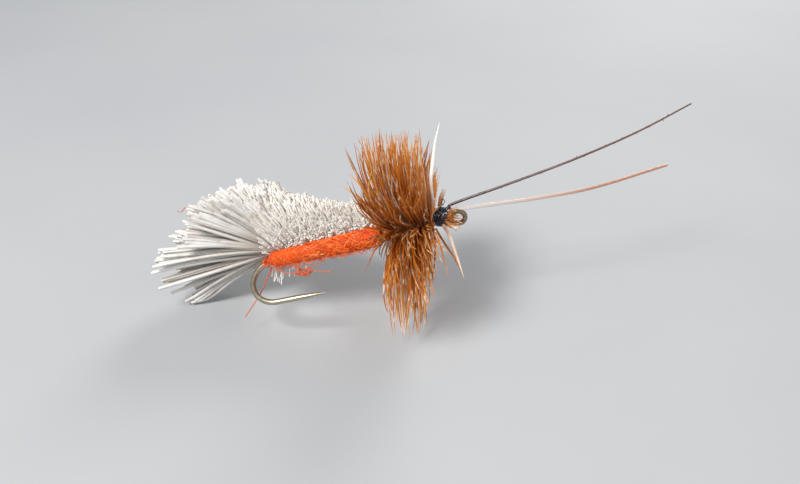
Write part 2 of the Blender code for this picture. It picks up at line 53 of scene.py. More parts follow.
# How the fly lies, and where its eye is along the shank.
NOSE_UP = math.radians(14.6)
ROLL = math.radians(65.0)
EYE_X = 16.54
EYE_AT = Vector(next(m["pos_m"] for m in frame["record"]["mounts"] if m["name"] == "hook_eye"))

# Hook
WIRE_R = 0.235
BEND_R = 2.1
BEND_X = 1.3
EYE_RING_R = 0.57
EYE_WIRE_R = 0.2
EYE_TWIST = math.radians(22.0)
EYE_GAP = math.radians(8.0)
POINT_LEG = 3.9
POINT_TAPER = 2.6
POINT_TIP_R = 0.025
POINT_DROP = 0.12

# Hair body: half width and height of the trimmed surface at stations along the shank.
BUNCHES = 5
BODY_START = 1.5
BODY_END = 10.3
TRIM_X = (-10.3, -9.5, -8.5, -7.0, -4.5, -1.5, 0.3, 1.4, 3.3, 6.5, 8.2, 10.3)
TRIM_HALF_WIDTH = (0.3, 1.9, 2.9, 3.9, 4.9, 4.9, 3.7, 2.7, 2.4, 2.4, 2.1, 1.8)
TRIM_HEIGHT = (0.4, 1.0, 2.1, 4.3, 6.9, 8.1, 8.2, 7.7, 6.2, 4.2, 3.6, 3.0)
TRIM_POWER = 2.3
BELLY_TRIM_R = 1.45
HAIR_PORT_END = math.radians(14.0)
HAIR_STARBOARD_END = math.radians(184.0)
HAIR_BEVEL = math.radians(30.0)
HAIR_LEAN = 0.2
REAR_HAIR_LEAN = 0.28
REAR_OVERHANG = 1.1
HAIR_R = 0.09
HAIR_CROWDING = 135
HAIR_ROOT_R = 0.45
STRAY_SHARE = 0.06
BELLY_STUBS = 260
MISSED_STUBS = 26

# Tail fan: its locks are spaced by the golden turn, so that no gap or crowd comes by chance.
TAIL_HAIR_R = 0.15
FAN_ROOT = np.array([1.35, 0.0, 0.8])
GOLDEN_TURN = 0.618034
FAN_HAIRS = 1050
FAN_LOCKS = 125
LOCK_SCATTER = 0.034
FAN_NEAREST = 0.05
FAN_LOW_ANGLE = math.radians(-38.0)
FAN_WIDEST = math.radians(93.0)
FAN_WIDEST_BELOW = math.radians(32.0)
FAN_UNDERSIDE_NARROWING = math.radians(10.0)
FAN_SEED = 23

# Belly rope
ROPE_START = 0.9
ROPE_END = 10.25
ROPE_SIDE = (-0.62, -0.72)
ROPE_DEPTH = (0.48, 0.6)
ROPE_HALF_WIDTH = (0.64, 0.97)
ROPE_HALF_HEIGHT = (0.56, 0.72)
ROPE_GROOVE_R = 0.5
FUZZ_CLEAR_R = 0.42

# Hackle
HACKLE_R = (8.85, 7.6)
REAR_FEATHER = (10.85, 12.6)
FRONT_FEATHER = (12.7, 14.45)
HACKLE_ROOT_R = 0.5
HACKLE_SPREAD = math.radians(7.2)
HACKLE_LEAN = math.radians(0.9)
HACKLE_FLOOR_LEAN = math.radians(14.0)
BARBS_PER_FEATHER = 340
CLUMPS_PER_FEATHER = 80
WEB_FIBRES = 420
STEM_COIL_R = 0.46

# Head
HEAD_START = 14.6
HEAD_END = 15.84
HEAD_RISE = 0.43
HEAD_R = 0.8
EYE_FIBRES = 80
CEMENT_SIDE = math.radians(232.0)

# Camera, light and floor
CAMERA_ELEVATION = math.radians(30.0)
CAMERA_DISTANCE = 0.0805
CAMERA_AIM = (11.03, 3.74, 1.58)
CAMERA_LENS = 42.6
FLOOR_SIZE = 3.0

DICE = np.random.default_rng(41)
SHANKWISE = np.array([1.0, 0.0, 0.0])


def fly_matrix():
    """From the fly's frame in millimetres to the row frame in metres."""
    turn = Matrix.Rotation(-NOSE_UP, 4, "Y") @ Matrix.Rotation(-ROLL, 4, "X")
    to_eye = Matrix.Translation(Vector((-EYE_X, 0.0, 0.0)))
    return Matrix.Translation(EYE_AT) @ turn @ Matrix.Scale(MM, 4) @ to_eye


FLY = np.array(fly_matrix())
FLY_UP = FLY[2, :3] / MM
FLY_HEIGHT = FLY[2, 3] / MM


def height_of(points):
    """Height above the surface that the fly rests on, in millimetres."""
    return points @ FLY_UP + FLY_HEIGHT


def rest_on_floor(points, soft=0.5, clearance=0.03):
    """Bends what would pass through the floor so that it lies along it."""
    height = height_of(points)
    low = np.minimum(height, soft)
    bent = clearance + (soft - clearance) * np.exp((low - soft) / (soft - clearance))
    rise = np.where(height < soft, bent - height, 0.0)
    return points + rise[..., None] * FLY_UP


# ---------------------------------------------------------------- meshes


def unit(vectors):
    return vectors / np.maximum(np.linalg.norm(vectors, axis=-1, keepdims=True), 1e-9)


def smooth(value):
    value = np.clip(value, 0.0, 1.0)
    return value * value * (3.0 - 2.0 * value)


def curve_through(points, count):
    """Evenly stepped points on a Catmull-Rom curve through the given points."""
    given = np.array(points, float)
    padded = np.vstack([2 * given[0] - given[1], given, 2 * given[-1] - given[-2]])
    step = np.linspace(0.0, len(given) - 1.0, count)
    k = np.minimum(step.astype(int), len(given) - 2)
    t = (step - k)[:, None]
    a, b, c, d = (padded[k + n] for n in range(4))
    return 0.5 * (2 * b + (c - a) * t + (2 * a - 5 * b + 4 * c - d) * t**2 + (3 * b - a - 3 * c + d) * t**3)


def lumps(points, shortest, longest, waves=60):
    """Smooth random bumps, about -1 to 1, with these wavelengths."""
    ways = unit(DICE.normal(0.0, 1.0, (waves, 3)))
    lengths = np.geomspace(shortest, longest, waves)
    phases = DICE.uniform(0.0, 2 * math.pi, waves)
    cycles = points @ (ways / lengths[:, None] * 2 * math.pi).T + phases
    return np.sin(cycles) @ (lengths / lengths.sum()) * 2.5


def along_fibre(count):
    """Steps from 0 at a fibre's root to 1 at its tip, to go with arrays of (fibres, points, 3)."""
    return np.linspace(0.0, 1.0, count)[None, :, None]


def off_axis(x, angle, reach, rise=0.0):
    """Points at x along the shank, this far out at an angle up from port, from an axis raised by rise."""
    x, angle, reach, rise = np.broadcast_arrays(x, angle, reach, rise)
    return np.stack([x, reach * np.cos(angle), rise + reach * np.sin(angle)], axis=-1)


def carried_sides(lines):
    """For each point of each line, two directions across it that don't twist along the line."""
    tangents = unit(np.gradient(lines, axis=1))
    helper = np.where(np.abs(tangents[:, :1, 2:3]) < 0.8, (0.0, 0.0, 1.0), (0.0, 1.0, 0.0))
    side = unit(np.cross(tangents[:, 0], helper[:, 0]))
    sides = np.empty_like(lines)
    for k in range(lines.shape[1]):
        tangent = tangents[:, k]
        side = unit(side - tangent * np.sum(side * tangent, axis=1, keepdims=True))
        sides[:, k] = side
    return sides, np.cross(sides, tangents)


def mesh_object(name, points, quads, caps, look, tones=None, sharp=50.0):
    """One object from points in the fly's frame. tones gives a value to each point for its material."""
    world = points @ FLY[:3, :3].T + FLY[:3, 3]
    mesh = bpy.data.meshes.new(name)
    loops = np.concatenate([quads.ravel(), caps.ravel()])
    sizes = np.concatenate([np.full(len(quads), 4), np.full(len(caps), caps.shape[1] if len(caps) else 0)])
    mesh.vertices.add(len(world))
    mesh.vertices.foreach_set("co", world.astype(np.float32).ravel())
    mesh.loops.add(len(loops))
    mesh.loops.foreach_set("vertex_index", loops.astype(np.int32))
    mesh.polygons.add(len(sizes))
    mesh.polygons.foreach_set("loop_start", np.concatenate([[0], np.cumsum(sizes)[:-1]]).astype(np.int32))
    mesh.update(calc_edges=True)
    for label, values in (tones or {}).items():
        layer = mesh.attributes.new(label, "FLOAT", "POINT")
        layer.data.foreach_set("value", np.asarray(values, np.float32).ravel())
    mesh.shade_smooth()
    mesh.set_sharp_from_angle(angle=math.radians(sharp))
    mesh.materials.append(look)
    made = bpy.data.objects.new(name, mesh)
    bpy.context.scene.collection.objects.link(made)
    return made


def tubes(name, lines, radii, sides, look, squash=1.0, groove=None, own=None):
    """One object of round fibres: lines is (fibres, points, 3) and radii (fibres, points).

    Each point carries two values for its material: strand, the fibre's own number, and along, from root
    to tip. squash flattens the section, and groove(angle, along) varies the radius round it.
    """
    lines = np.asarray(lines, float)
    radii = np.broadcast_to(radii, lines.shape[:2])
    fibres, count = lines.shape[:2]
    across, up = carried_sides(lines)
    angle = np.arange(sides) * 2 * math.pi / sides
    along = np.linspace(0.0, 1.0, count)
    width = radii[:, :, None] * np.ones(sides)
    if groove is not None:
        width = width * groove(angle[None, None, :], along[None, :, None])
    points = (
        lines[:, :, None]
        + across[:, :, None] * (np.cos(angle)[:, None] * width[..., None])
        + up[:, :, None] * (np.sin(angle)[:, None] * width[..., None] * squash)
    ).reshape(-1, 3)
    first = np.arange(fibres)[:, None, None] * count * sides
    ring = first + np.arange(count - 1)[None, :, None] * sides
    k = np.arange(sides)[None, None, :]
    n = (k + 1) % sides
    quads = np.stack([ring + k, ring + n, ring + sides + n, ring + sides + k], axis=-1).reshape(-1, 4)
    start = np.arange(fibres)[:, None] * count * sides + np.arange(sides)
    caps = np.concatenate([start[:, ::-1], start + (count - 1) * sides])
    strand = DICE.random(fibres) if own is None else own
    tones = {
        "strand": np.repeat(strand, count * sides),
        "along": np.tile(np.repeat(along, sides), fibres),
    }
    return mesh_object(name, points, quads, caps, look, tones)


def sheath(name, outer, look, tones=None, sharp=50.0):
    """A closed skin over a grid of points (stations, round, 3), capped at both ends."""
    stations, sides = outer.shape[:2]
    ring = np.arange(stations - 1)[:, None] * sides
    k = np.arange(sides)[None, :]
    n = (k + 1) % sides
    quads = np.stack([ring + k, ring + n, ring + sides + n, ring + sides + k], axis=-1).reshape(-1, 4)
    caps = np.stack([np.arange(sides)[::-1], np.arange(sides) + (stations - 1) * sides])
    return mesh_object(name, outer.reshape(-1, 3), quads, caps, look, tones, sharp)


def joined(name, pieces):
    """Makes several objects one piece."""
    bpy.ops.object.select_all(action="DESELECT")
    for piece in pieces:
        piece.select_set(True)
    bpy.context.view_layer.objects.active = pieces[0]
    bpy.ops.object.join()
    pieces[0].name = name
    return pieces[0]


def stands_for(piece, slot, *nodes):
    """Puts a piece in the place of its CAD nodes."""
    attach(piece, "root")
    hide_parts(*nodes)


def goes_with(piece):
    """Adds a piece that has no CAD node of its own."""
    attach(piece, "root")


# ---------------------------------------------------------------- materials


def grey(value):
    return (value, value, value)


class Look:
    """A Principled material, and short names for the nodes that its patterns need."""

    def __init__(self, name, **values):
        self.material = bpy.data.materials.new(name)
        self.material.use_nodes = True
        self.tree = self.material.node_tree
        self.shader = self.tree.nodes["Principled BSDF"]
        for label, value in values.items():
            self.shader.inputs[label.replace("_", " ")].default_value = value

    def node(self, kind, **settings):
        made = self.tree.nodes.new("ShaderNode" + kind)
        for label, value in settings.items():
            setattr(made, label, value)
        return made

    def link(self, source, target):
        self.tree.links.new(source, target)

    def attribute(self, name):
        return self.node("Attribute", attribute_name=name).outputs["Fac"]

    def object_point(self, stretch=(1.0, 1.0, 1.0)):
        """Coordinates in metres, stretched along each row axis."""
        where = self.node("TexCoord").outputs["Object"]
        scale = self.node("Mapping")
        scale.inputs["Scale"].default_value = stretch
        self.link(where, scale.inputs["Vector"])
        return scale.outputs["Vector"]

    def noise(self, scale, detail=3.0, point=None):
        made = self.node("TexNoise")
        made.inputs["Scale"].default_value = scale
        made.inputs["Detail"].default_value = detail
        self.link(point or self.object_point(), made.inputs["Vector"])
        return made.outputs["Fac"]

    def fibre_noise(self, across, lengthwise, detail=2.0):
        """Noise that runs in streaks down each fibre: it reads the fibre's own two values."""
        both = self.node("CombineXYZ")
        self.link(self.scaled(self.attribute("strand"), across), both.inputs[0])
        self.link(self.scaled(self.attribute("along"), lengthwise), both.inputs[1])
        made = self.node("TexNoise")
        made.inputs["Scale"].default_value = 1.0
        made.inputs["Detail"].default_value = detail
        self.link(both.outputs[0], made.inputs["Vector"])
        return made.outputs["Fac"]

    def scaled(self, value, factor, offset=0.0):
        made = self.node("Math", operation="MULTIPLY_ADD")
        self.link(value, made.inputs[0])
        made.inputs[1].default_value = factor
        made.inputs[2].default_value = offset
        return made.outputs[0]

    def combined(self, first, second, operation="MULTIPLY"):
        made = self.node("Math", operation=operation)
        made.use_clamp = True
        self.link(first, made.inputs[0])
        self.link(second, made.inputs[1])
        return made.outputs[0]

    def ramp(self, value, stops):
        """Colours at places from 0 to 1."""
        made = self.node("ValToRGB")
        elements = made.color_ramp.elements
        while len(elements) < len(stops):
            elements.new(0.5)
        for element, (place, colour) in zip(elements, stops):
            element.position = place
            element.color = (*colour, 1.0)
        self.link(value, made.inputs["Fac"])
        return made.outputs["Color"]

    def mix(self, amount, first, second, kind="MIX"):
        made = self.node("Mix", data_type="RGBA", blend_type=kind)
        self.link(amount, made.inputs["Factor"])
        self.link(first, made.inputs["A"])
        self.link(second, made.inputs["B"])
        return made.outputs["Result"]

    def colour(self, source):
        self.link(source, self.shader.inputs["Base Color"])

    def roughness(self, value, low, high):
        self.link(self.scaled(value, high - low, low), self.shader.inputs["Roughness"])

    def bump(self, value, distance, strength=1.0):
        made = self.node("Bump")
        made.inputs["Strength"].default_value = strength
        made.inputs["Distance"].default_value = distance
        self.link(value, made.inputs["Height"])
        self.link(made.outputs["Normal"], self.shader.inputs["Normal"])


def hair_look(name, pale, taupe, dark_root):
    """Hair that is pale with its own tone for each fibre, streaked lengthwise, and darker at its root."""
    look = Look(name, Roughness=0.42, Specular_IOR_Level=0.55)
    whitest = (0.88, 0.86, 0.82)
    streaks = look.fibre_noise(60.0, 5.0)
    own = look.ramp(look.attribute("strand"), ((0.0, taupe), (0.28, pale), (0.7, pale), (1.0, whitest)))
    streak_tones = look.ramp(streaks, ((0.3, pale), (0.75, taupe)))
    streaked = look.mix(look.scaled(streaks, 1.6, -0.55), own, streak_tones)
    near_root = look.ramp(look.attribute("along"), ((0.0, grey(1.0)), (0.55, grey(0.25)), (0.85, grey(0.0))))
    root_tones = look.ramp(streaks, ((0.0, dark_root), (1.0, taupe)))
    look.colour(look.mix(near_root, streaked, root_tones))
    look.roughness(streaks, 0.3, 0.55)
    look.bump(look.noise(9000.0), 0.00002, 0.5)
    return look.material


def hackle_look():
    """Glossy ginger barbs, some of them white, with lengthwise streaks, dark roots and painted glints, pale
    streaks that stand in for highlights.
    """
    look = Look("ginger_barbs", Roughness=0.3, Specular_IOR_Level=0.7)
    tone = look.ramp(
        look.attribute("strand"),
        (
            (0.0, (0.30, 0.07, 0.006)),
            (0.3, (0.58, 0.18, 0.016)),
            (0.8, (0.78, 0.31, 0.04)),
            (0.94, (0.84, 0.42, 0.09)),
            (0.975, (0.84, 0.68, 0.50)),
            (1.0, (0.90, 0.84, 0.76)),
        ),
    )
    streaks = look.fibre_noise(80.0, 6.0)
    deep = look.ramp(streaks, ((0.2, (0.3, 0.07, 0.006)), (0.8, (0.74, 0.27, 0.034))))
    body = look.mix(look.scaled(streaks, 0.8, -0.15), tone, deep)
    near_root = look.ramp(look.attribute("along"), ((0.0, grey(0.7)), (0.2, grey(0.2)), (0.4, grey(0.0))))
    root_tones = look.ramp(streaks, ((0.0, (0.2, 0.05, 0.006)), (1.0, (0.5, 0.15, 0.018))))
    rooted = look.mix(near_root, body, root_tones)
    # Painted highlights: pale streaks mixed into the barbs' colour where this noise runs high, standing in
    # for glossy glints.
    painted_glints = look.ramp(look.fibre_noise(400.0, 5.0, 1.0), ((0.6, grey(0.0)), (0.66, grey(0.85))))
    painted_glint_tones = look.ramp(streaks, ((0.0, (0.85, 0.68, 0.48)), (1.0, (0.95, 0.9, 0.84))))
    look.colour(look.mix(painted_glints, rooted, painted_glint_tones))
    look.roughness(streaks, 0.2, 0.42)
    look.bump(look.fibre_noise(80.0, 220.0), 0.00001, 0.4)
    return look.material


def dubbing_look():
    """Orange dubbing: each fibre has its own tone, and patches of the rope are deeper or brighter."""
    look = Look("orange_dubbing", Roughness=0.5, Sheen_Weight=0.2, Sheen_Roughness=0.4)
    look.shader.inputs["Sheen Tint"].default_value = (1.0, 0.45, 0.2, 1.0)
    own = look.ramp(
        look.attribute("strand"),
        (
            (0.0, (0.55, 0.035, 0.003)),
            (0.35, (0.9, 0.11, 0.005)),
            (0.8, (1.0, 0.18, 0.01)),
            (1.0, (1.0, 0.42, 0.12)),
        ),
    )
    patches = look.noise(1400.0, 4.0)
    patch_tones = look.ramp(patches, ((0.3, (0.66, 0.05, 0.004)), (0.7, (1.0, 0.21, 0.014))))
    look.colour(look.mix(look.scaled(patches, 0.9, -0.2), own, patch_tones))
    look.roughness(look.attribute("strand"), 0.7, 0.28)
    look.bump(look.noise(16000.0, 2.0), 0.00003, 0.6)
    return look.material


def thread_look(name, deep, bright, rough=0.4, coat=0.0):
    look = Look(name, Roughness=rough, Coat_Weight=coat, Coat_Roughness=0.08)
    streaks = look.noise(26000.0, 3.0, look.object_point((1.0, 0.35, 1.0)))
    look.colour(look.ramp(streaks, ((0.25, deep), (0.7, bright))))
    look.roughness(streaks, rough - 0.1, rough + 0.15)
    look.bump(streaks, 0.00001, 0.5)
    return look.material


def wire_look():
    """Bronzed wire with drawing marks and worn spots, darker round the eye, where along is lowest."""
    look = Look("bronzed_wire", Metallic=1.0, Roughness=0.25)
    drawn = look.noise(5200.0, 3.0, look.object_point((0.25, 1.0, 1.0)))
    spots = look.noise(1500.0, 4.0)
    tint = look.ramp(drawn, ((0.3, (0.38, 0.34, 0.25)), (0.7, (0.55, 0.50, 0.39))))
    spot_tones = look.ramp(spots, ((0.4, (0.46, 0.42, 0.32)), (0.7, (0.32, 0.28, 0.19))))
    worn = look.mix(look.scaled(spots, 1.0, -0.35), tint, spot_tones)
    at_eye = look.ramp(look.attribute("along"), ((0.0, grey(0.75)), (0.24, grey(0.75)), (0.33, grey(0.0))))
    eye_tones = look.ramp(drawn, ((0.3, (0.13, 0.09, 0.05)), (0.7, (0.30, 0.23, 0.14))))
    look.colour(look.mix(at_eye, worn, eye_tones))
    look.roughness(drawn, 0.28, 0.46)
    look.bump(drawn, 0.000006, 0.4)
    return look.material


def quill_look(name, base, middle, tip, rough):
    """A stripped quill that changes colour from its base to its tip, with a fine grain."""
    look = Look(name, Roughness=rough, Coat_Weight=0.35, Coat_Roughness=0.15)
    grain = look.noise(7000.0, 3.0, look.object_point((0.2, 1.0, 1.0)))
    along = look.combined(look.attribute("along"), look.scaled(grain, 0.16, -0.08), "ADD")
    shade = look.ramp(along, ((0.0, base), (0.48, middle), (0.85, tip), (1.0, tip)))
    grain_tones = look.ramp(grain, ((0.35, tip), (0.75, base)))
    look.colour(look.mix(look.scaled(grain, 0.7, -0.2), shade, grain_tones))
    look.roughness(grain, rough - 0.08, rough + 0.15)
    look.bump(grain, 0.00001, 0.6)
    return look.material


def floor_look():
    look = Look("studio_floor", Roughness=0.7)
    mottle = look.noise(30.0, 4.0)
    look.colour(look.ramp(mottle, ((0.3, (0.44, 0.455, 0.475)), (0.7, (0.47, 0.485, 0.50)))))
    look.bump(look.noise(900.0, 2.0), 0.00002, 0.15)
    return look.material


# ---------------------------------------------------------------- hook


def make_hook(look):
    """The wire is one tube from the cut end of its eye loop, round the loop, along the shank and bend."""
    loop_steps = 32
    neck_steps = 12
    bend_steps = 40
    leg_steps = 30
    route = []
    for k in range(loop_steps + 1):
        angle = (math.pi - EYE_GAP) * (1 - 2 * k / loop_steps)
        swing = EYE_RING_R * math.sin(angle)
        x = EYE_X + EYE_RING_R * math.cos(angle)
        route.append((x, swing * math.cos(EYE_TWIST), -swing * math.sin(EYE_TWIST)))
    leaves_loop = np.array(route[-1])
    neck_end = np.array([EYE_X - EYE_RING_R - 1.1, 0.0, 0.0])
    for k in range(1, neck_steps + 1):
        share = smooth(k / neck_steps)
        route.append(tuple(leaves_loop * (1 - share) + neck_end * share))
    for x in np.linspace(EYE_X - EYE_RING_R - 1.6, BEND_X + 0.4, 24):
        route.append((x, 0.0, 0.0))
    for k in range(bend_steps + 1):
        angle = math.pi * k / bend_steps
        route.append((BEND_X - BEND_R * math.sin(angle), 0.0, BEND_R * (math.cos(angle) - 1.0)))
    for k in range(1, leg_steps + 1):
        share = k / leg_steps
        route.append((BEND_X + POINT_LEG * share, 0.0, -2 * BEND_R - POINT_DROP * share))
    route = np.array(route)
    run = np.concatenate([[0.0], np.cumsum(np.linalg.norm(np.diff(route, axis=0), axis=1))])
    left = (run[-1] - run) / POINT_TAPER
    radii = POINT_TIP_R + (WIRE_R - POINT_TIP_R) * np.sin(np.clip(left, 0, 1) * math.pi / 2)
    eye_part = 1.0 - smooth((run - 3.2) / 1.6)
    radii = radii * (1 - eye_part) + EYE_WIRE_R * eye_part
    radii[0] *= 0.8
    return tubes("hook_wire", route[None], radii[None], 20, look)


# ---------------------------------------------------------------- hair


def trimmed(x):
    return np.interp(x, TRIM_X, TRIM_HALF_WIDTH), np.interp(x, TRIM_X, TRIM_HEIGHT)


def trimmed_radius(x, angle):
    """Distance from the shank to the trimmed surface, at an angle up from port."""
    width, height = trimmed(x)
    side = (np.abs(np.cos(angle)) / width) ** TRIM_POWER
    rise = (np.abs(np.sin(angle)) / height) ** TRIM_POWER
    full = (side + rise) ** (-1 / TRIM_POWER)
    from_end = np.minimum(HAIR_STARBOARD_END - angle, angle - HAIR_PORT_END)
    return full + (BELLY_TRIM_R - full) * smooth(1.0 - from_end / HAIR_BEVEL)


def wander(fibres, count, size):
    """A smooth sideways drift for each fibre, nothing at its root."""
    t = along_fibre(count)
    first = DICE.normal(0.0, size, (fibres, 1, 3))
    second = DICE.normal(0.0, size * 0.5, (fibres, 1, 3))
    return first * t**2 + second * np.sin(t * math.pi)


def hair_radii(lengths, count, full, root=0.045, swell=1.6):
    """Hair is pinched where the thread holds it and full a little way out."""
    run = np.linspace(0.0, 1.0, count)[None, :] * lengths[:, None]
    return root + (full[:, None] - root) * smooth(run / swell)


def make_bunch(index, look):
    """A spun bunch: hairs stand out round the shank and end on the trimmed surface."""
    start = BODY_START + (BODY_END - BODY_START) * index / BUNCHES
    end = BODY_START + (BODY_END - BODY_START) * (index + 1) / BUNCHES
    middle = (start + end) / 2
    width, height = trimmed(middle)
    tries = int(HAIR_CROWDING * (end - start) * (width + height))
    angle = DICE.uniform(HAIR_PORT_END, HAIR_STARBOARD_END, tries)
    overhang = REAR_OVERHANG if index == 0 else 0.0
    tip_x = DICE.uniform(start - overhang, end, tries)
    reach = trimmed_radius(tip_x, angle)
    kept = DICE.random(tries) < reach / (1.15 * height)
    angle, tip_x, reach = angle[kept], tip_x[kept], reach[kept]
    fibres = len(reach)
    stray = np.where(DICE.random(fibres) < STRAY_SHARE, DICE.uniform(0.1, 0.45, fibres), 0.0)
    tuft = np.clip(lumps(off_axis(tip_x, angle, reach), 0.7, 2.0), -1, 1)
    reach = reach * (0.97 + 0.05 * tuft - 0.2 * DICE.random(fibres) ** 2) + stray
    lean = HAIR_LEAN + REAR_HAIR_LEAN * smooth((4.8 - tip_x) / 3.5)
    root_x = np.clip(middle + (tip_x - middle) * 0.8 + lean * (reach - 1.0), start - 0.1, end + 0.9)
    root = off_axis(root_x, angle, HAIR_ROOT_R)
    tip = off_axis(tip_x, angle, reach)
    count = 7
    t = along_fibre(count)
    lines = root[:, None] * (1 - t) + tip[:, None] * t + wander(fibres, count, 0.055)
    lengths = np.linalg.norm(tip - root, axis=1)
    radii = hair_radii(lengths, count, HAIR_R * DICE.uniform(0.75, 1.15, fibres))
    lines = rest_on_floor(lines, 0.3)
    return tubes(f"deer_hair_bunch_{index + 1}", lines, radii, 6, look)


def reach_to_trim(root, ways):
    """How far each hair runs from root before it meets the trimmed surface."""
    steps = np.arange(1.2, 13.0, 0.05)
    points = root + ways[:, None] * steps[None, :, None]
    width, height = trimmed(points[..., 0])
    side = (np.abs(points[..., 1]) / width) ** 2
    rise = (np.maximum(points[..., 2], 0.0) / height) ** 2
    outside = (side + rise > 1.0) | (points[..., 0] < TRIM_X[0])
    return steps[np.argmax(outside, axis=1)]


def fan_headings(dice):
    """The direction of each lock: wide above the shank, narrower beside it and narrowest below."""
    tries = FAN_LOCKS * 3
    turn = (np.arange(tries) * GOLDEN_TURN + dice.normal(0.0, 0.012, tries)) % 1.0
    angle = FAN_LOW_ANGLE + (math.pi - 2 * FAN_LOW_ANGLE) * turn
    share = (np.arange(tries) + dice.random(tries)) / tries
    spread = np.arccos(math.cos(FAN_NEAREST) + (math.cos(FAN_WIDEST) - math.cos(FAN_NEAREST)) * share)
    opened = smooth((np.sin(angle) - 0.05) / 0.85)
    lowered = smooth(-np.sin(angle) / 0.6)
    widest = FAN_WIDEST_BELOW + (FAN_WIDEST - FAN_WIDEST_BELOW) * opened - FAN_UNDERSIDE_NARROWING * lowered
    kept = np.flatnonzero(spread < widest)
    kept = kept[np.linspace(0, len(kept) - 1, FAN_LOCKS).astype(int)]
    return off_axis(-np.cos(spread[kept]), angle[kept], np.sin(spread[kept]))


def make_tail_fan(look):
    """Long hairs in locks, spread backwards from one root and cut to a wing shape."""
    dice = np.random.default_rng(FAN_SEED)
    heading = fan_headings(dice)
    lock = dice.integers(0, FAN_LOCKS, FAN_HAIRS)
    ways = unit(heading[lock] + dice.normal(0.0, LOCK_SCATTER, (FAN_HAIRS, 3)))
    lock_length = dice.uniform(0.86, 1.04, FAN_LOCKS)[lock]
    reach = reach_to_trim(FAN_ROOT, ways) * lock_length * dice.uniform(0.95, 1.01, FAN_HAIRS)
    count = 10
    t = along_fibre(count)
    root = FAN_ROOT + dice.normal(0.0, 0.14, (FAN_HAIRS, 3)) * (1.5, 1.0, 0.6)
    bow = dice.normal(0.0, 0.16, (FAN_LOCKS, 3))[lock][:, None] + (0.0, 0.0, 0.2)
    lines = root[:, None] + ways[:, None] * (reach[:, None, None] * t)
    lines = lines + bow * np.sin(t * math.pi) + wander(FAN_HAIRS, count, 0.09)
    lines = rest_on_floor(lines, 0.9, TAIL_HAIR_R)
    radii = hair_radii(reach, count, TAIL_HAIR_R * dice.uniform(0.8, 1.15, FAN_HAIRS), 0.05, 2.2)
    radii[:, -1] *= 0.9
    return tubes("deer_hair_tail", lines, radii, 6, look)


def make_belly_stubs(look):
    """Short clipped ends round the underside of the shank, and a few that the scissors missed."""
    missed = slice(0, MISSED_STUBS)
    angle = DICE.uniform(HAIR_STARBOARD_END, 2 * math.pi + HAIR_PORT_END, BELLY_STUBS)
    x = DICE.uniform(BODY_START, BODY_END, BELLY_STUBS)
    x[missed] = DICE.uniform(0.9, 3.9, MISSED_STUBS)
    angle[missed] = DICE.uniform(math.radians(288.0), math.radians(330.0), MISSED_STUBS)
    spoke = off_axis(DICE.normal(0.0, 0.12, BELLY_STUBS), angle, 1.0)
    reach = DICE.uniform(0.4, 0.5, BELLY_STUBS)
    reach[missed] = DICE.uniform(0.9, 1.9, MISSED_STUBS)
    spoke[missed] += DICE.normal(0.0, 0.18, (MISSED_STUBS, 3)) - (0.35, 0.0, 0.0)
    radii = np.full((BELLY_STUBS, 3), 0.07)
    radii[missed] = 0.045
    out = 0.25 + (reach[:, None, None] - 0.25) * along_fibre(3)
    lines = off_axis(x, angle, 0.0)[:, None] + spoke[:, None] * out
    return tubes("deer_hair_belly", lines, radii, 6, look)


# ---------------------------------------------------------------- rope and threads


def along_rope(pair, x):
    return pair[0] + (pair[1] - pair[0]) * (x - ROPE_START) / (ROPE_END - ROPE_START)


def rope_centre(x):
    return np.stack([along_rope(ROPE_SIDE, x), -along_rope(ROPE_DEPTH, x)], axis=-1)


def rope_point(x, angle, share):
    """A point of the rope at x, round it by angle and at a share of its radius, clear of the shank."""
    centre = rope_centre(x)
    end = np.minimum(x - ROPE_START, ROPE_END - x)
    share = share * (0.6 + 0.4 * smooth(end / 0.5))
    across = along_rope(ROPE_HALF_WIDTH, x) * share * np.cos(angle)
    spoke = np.stack([across, along_rope(ROPE_HALF_HEIGHT, x) * share * np.sin(angle)], axis=-1)
    reach = np.linalg.norm(spoke, axis=-1)
    way = spoke / reach[..., None]
    nearest = -np.sum(centre * way, axis=-1)
    room = ROPE_GROOVE_R**2 - np.sum(centre**2, axis=-1) + nearest**2
    edge = nearest - np.sqrt(np.maximum(room, 0.0))
    reach = np.where((nearest > 0.0) & (room > 0.0), np.minimum(reach, edge), reach)
    section = centre + way * reach[..., None]
    return np.stack([x, section[..., 0], section[..., 1]], axis=-1)


def off_shank(lines):
    """Keeps the rope's loose fibres out of the shank and its thread."""
    reach = np.linalg.norm(lines[..., 1:], axis=-1, keepdims=True)
    push = np.maximum(FUZZ_CLEAR_R / np.maximum(reach, 0.01), 1.0)
    return np.concatenate([lines[..., :1], lines[..., 1:] * push], axis=-1)


def rope_body(look):
    """The lumpy, twisted core of packed dubbing."""
    along = np.linspace(ROPE_START, ROPE_END, 210)
    round_it = np.linspace(0.0, 2 * math.pi, 60, endpoint=False)
    x, angle = np.meshgrid(along, round_it, indexing="ij")
    twisted = 0.9 + 0.02 * np.cos(2 * angle - 3.2 * x)
    even_skin = rope_point(x, angle, twisted)
    body = rope_point(x, angle, twisted + 0.055 * lumps(even_skin, 0.22, 1.1))
    patches = np.clip(0.35 + 0.3 * lumps(even_skin, 0.3, 0.9), 0, 1)
    return sheath("rope_body", body, look, {"strand": patches, "along": np.full(patches.shape, 0.5)})


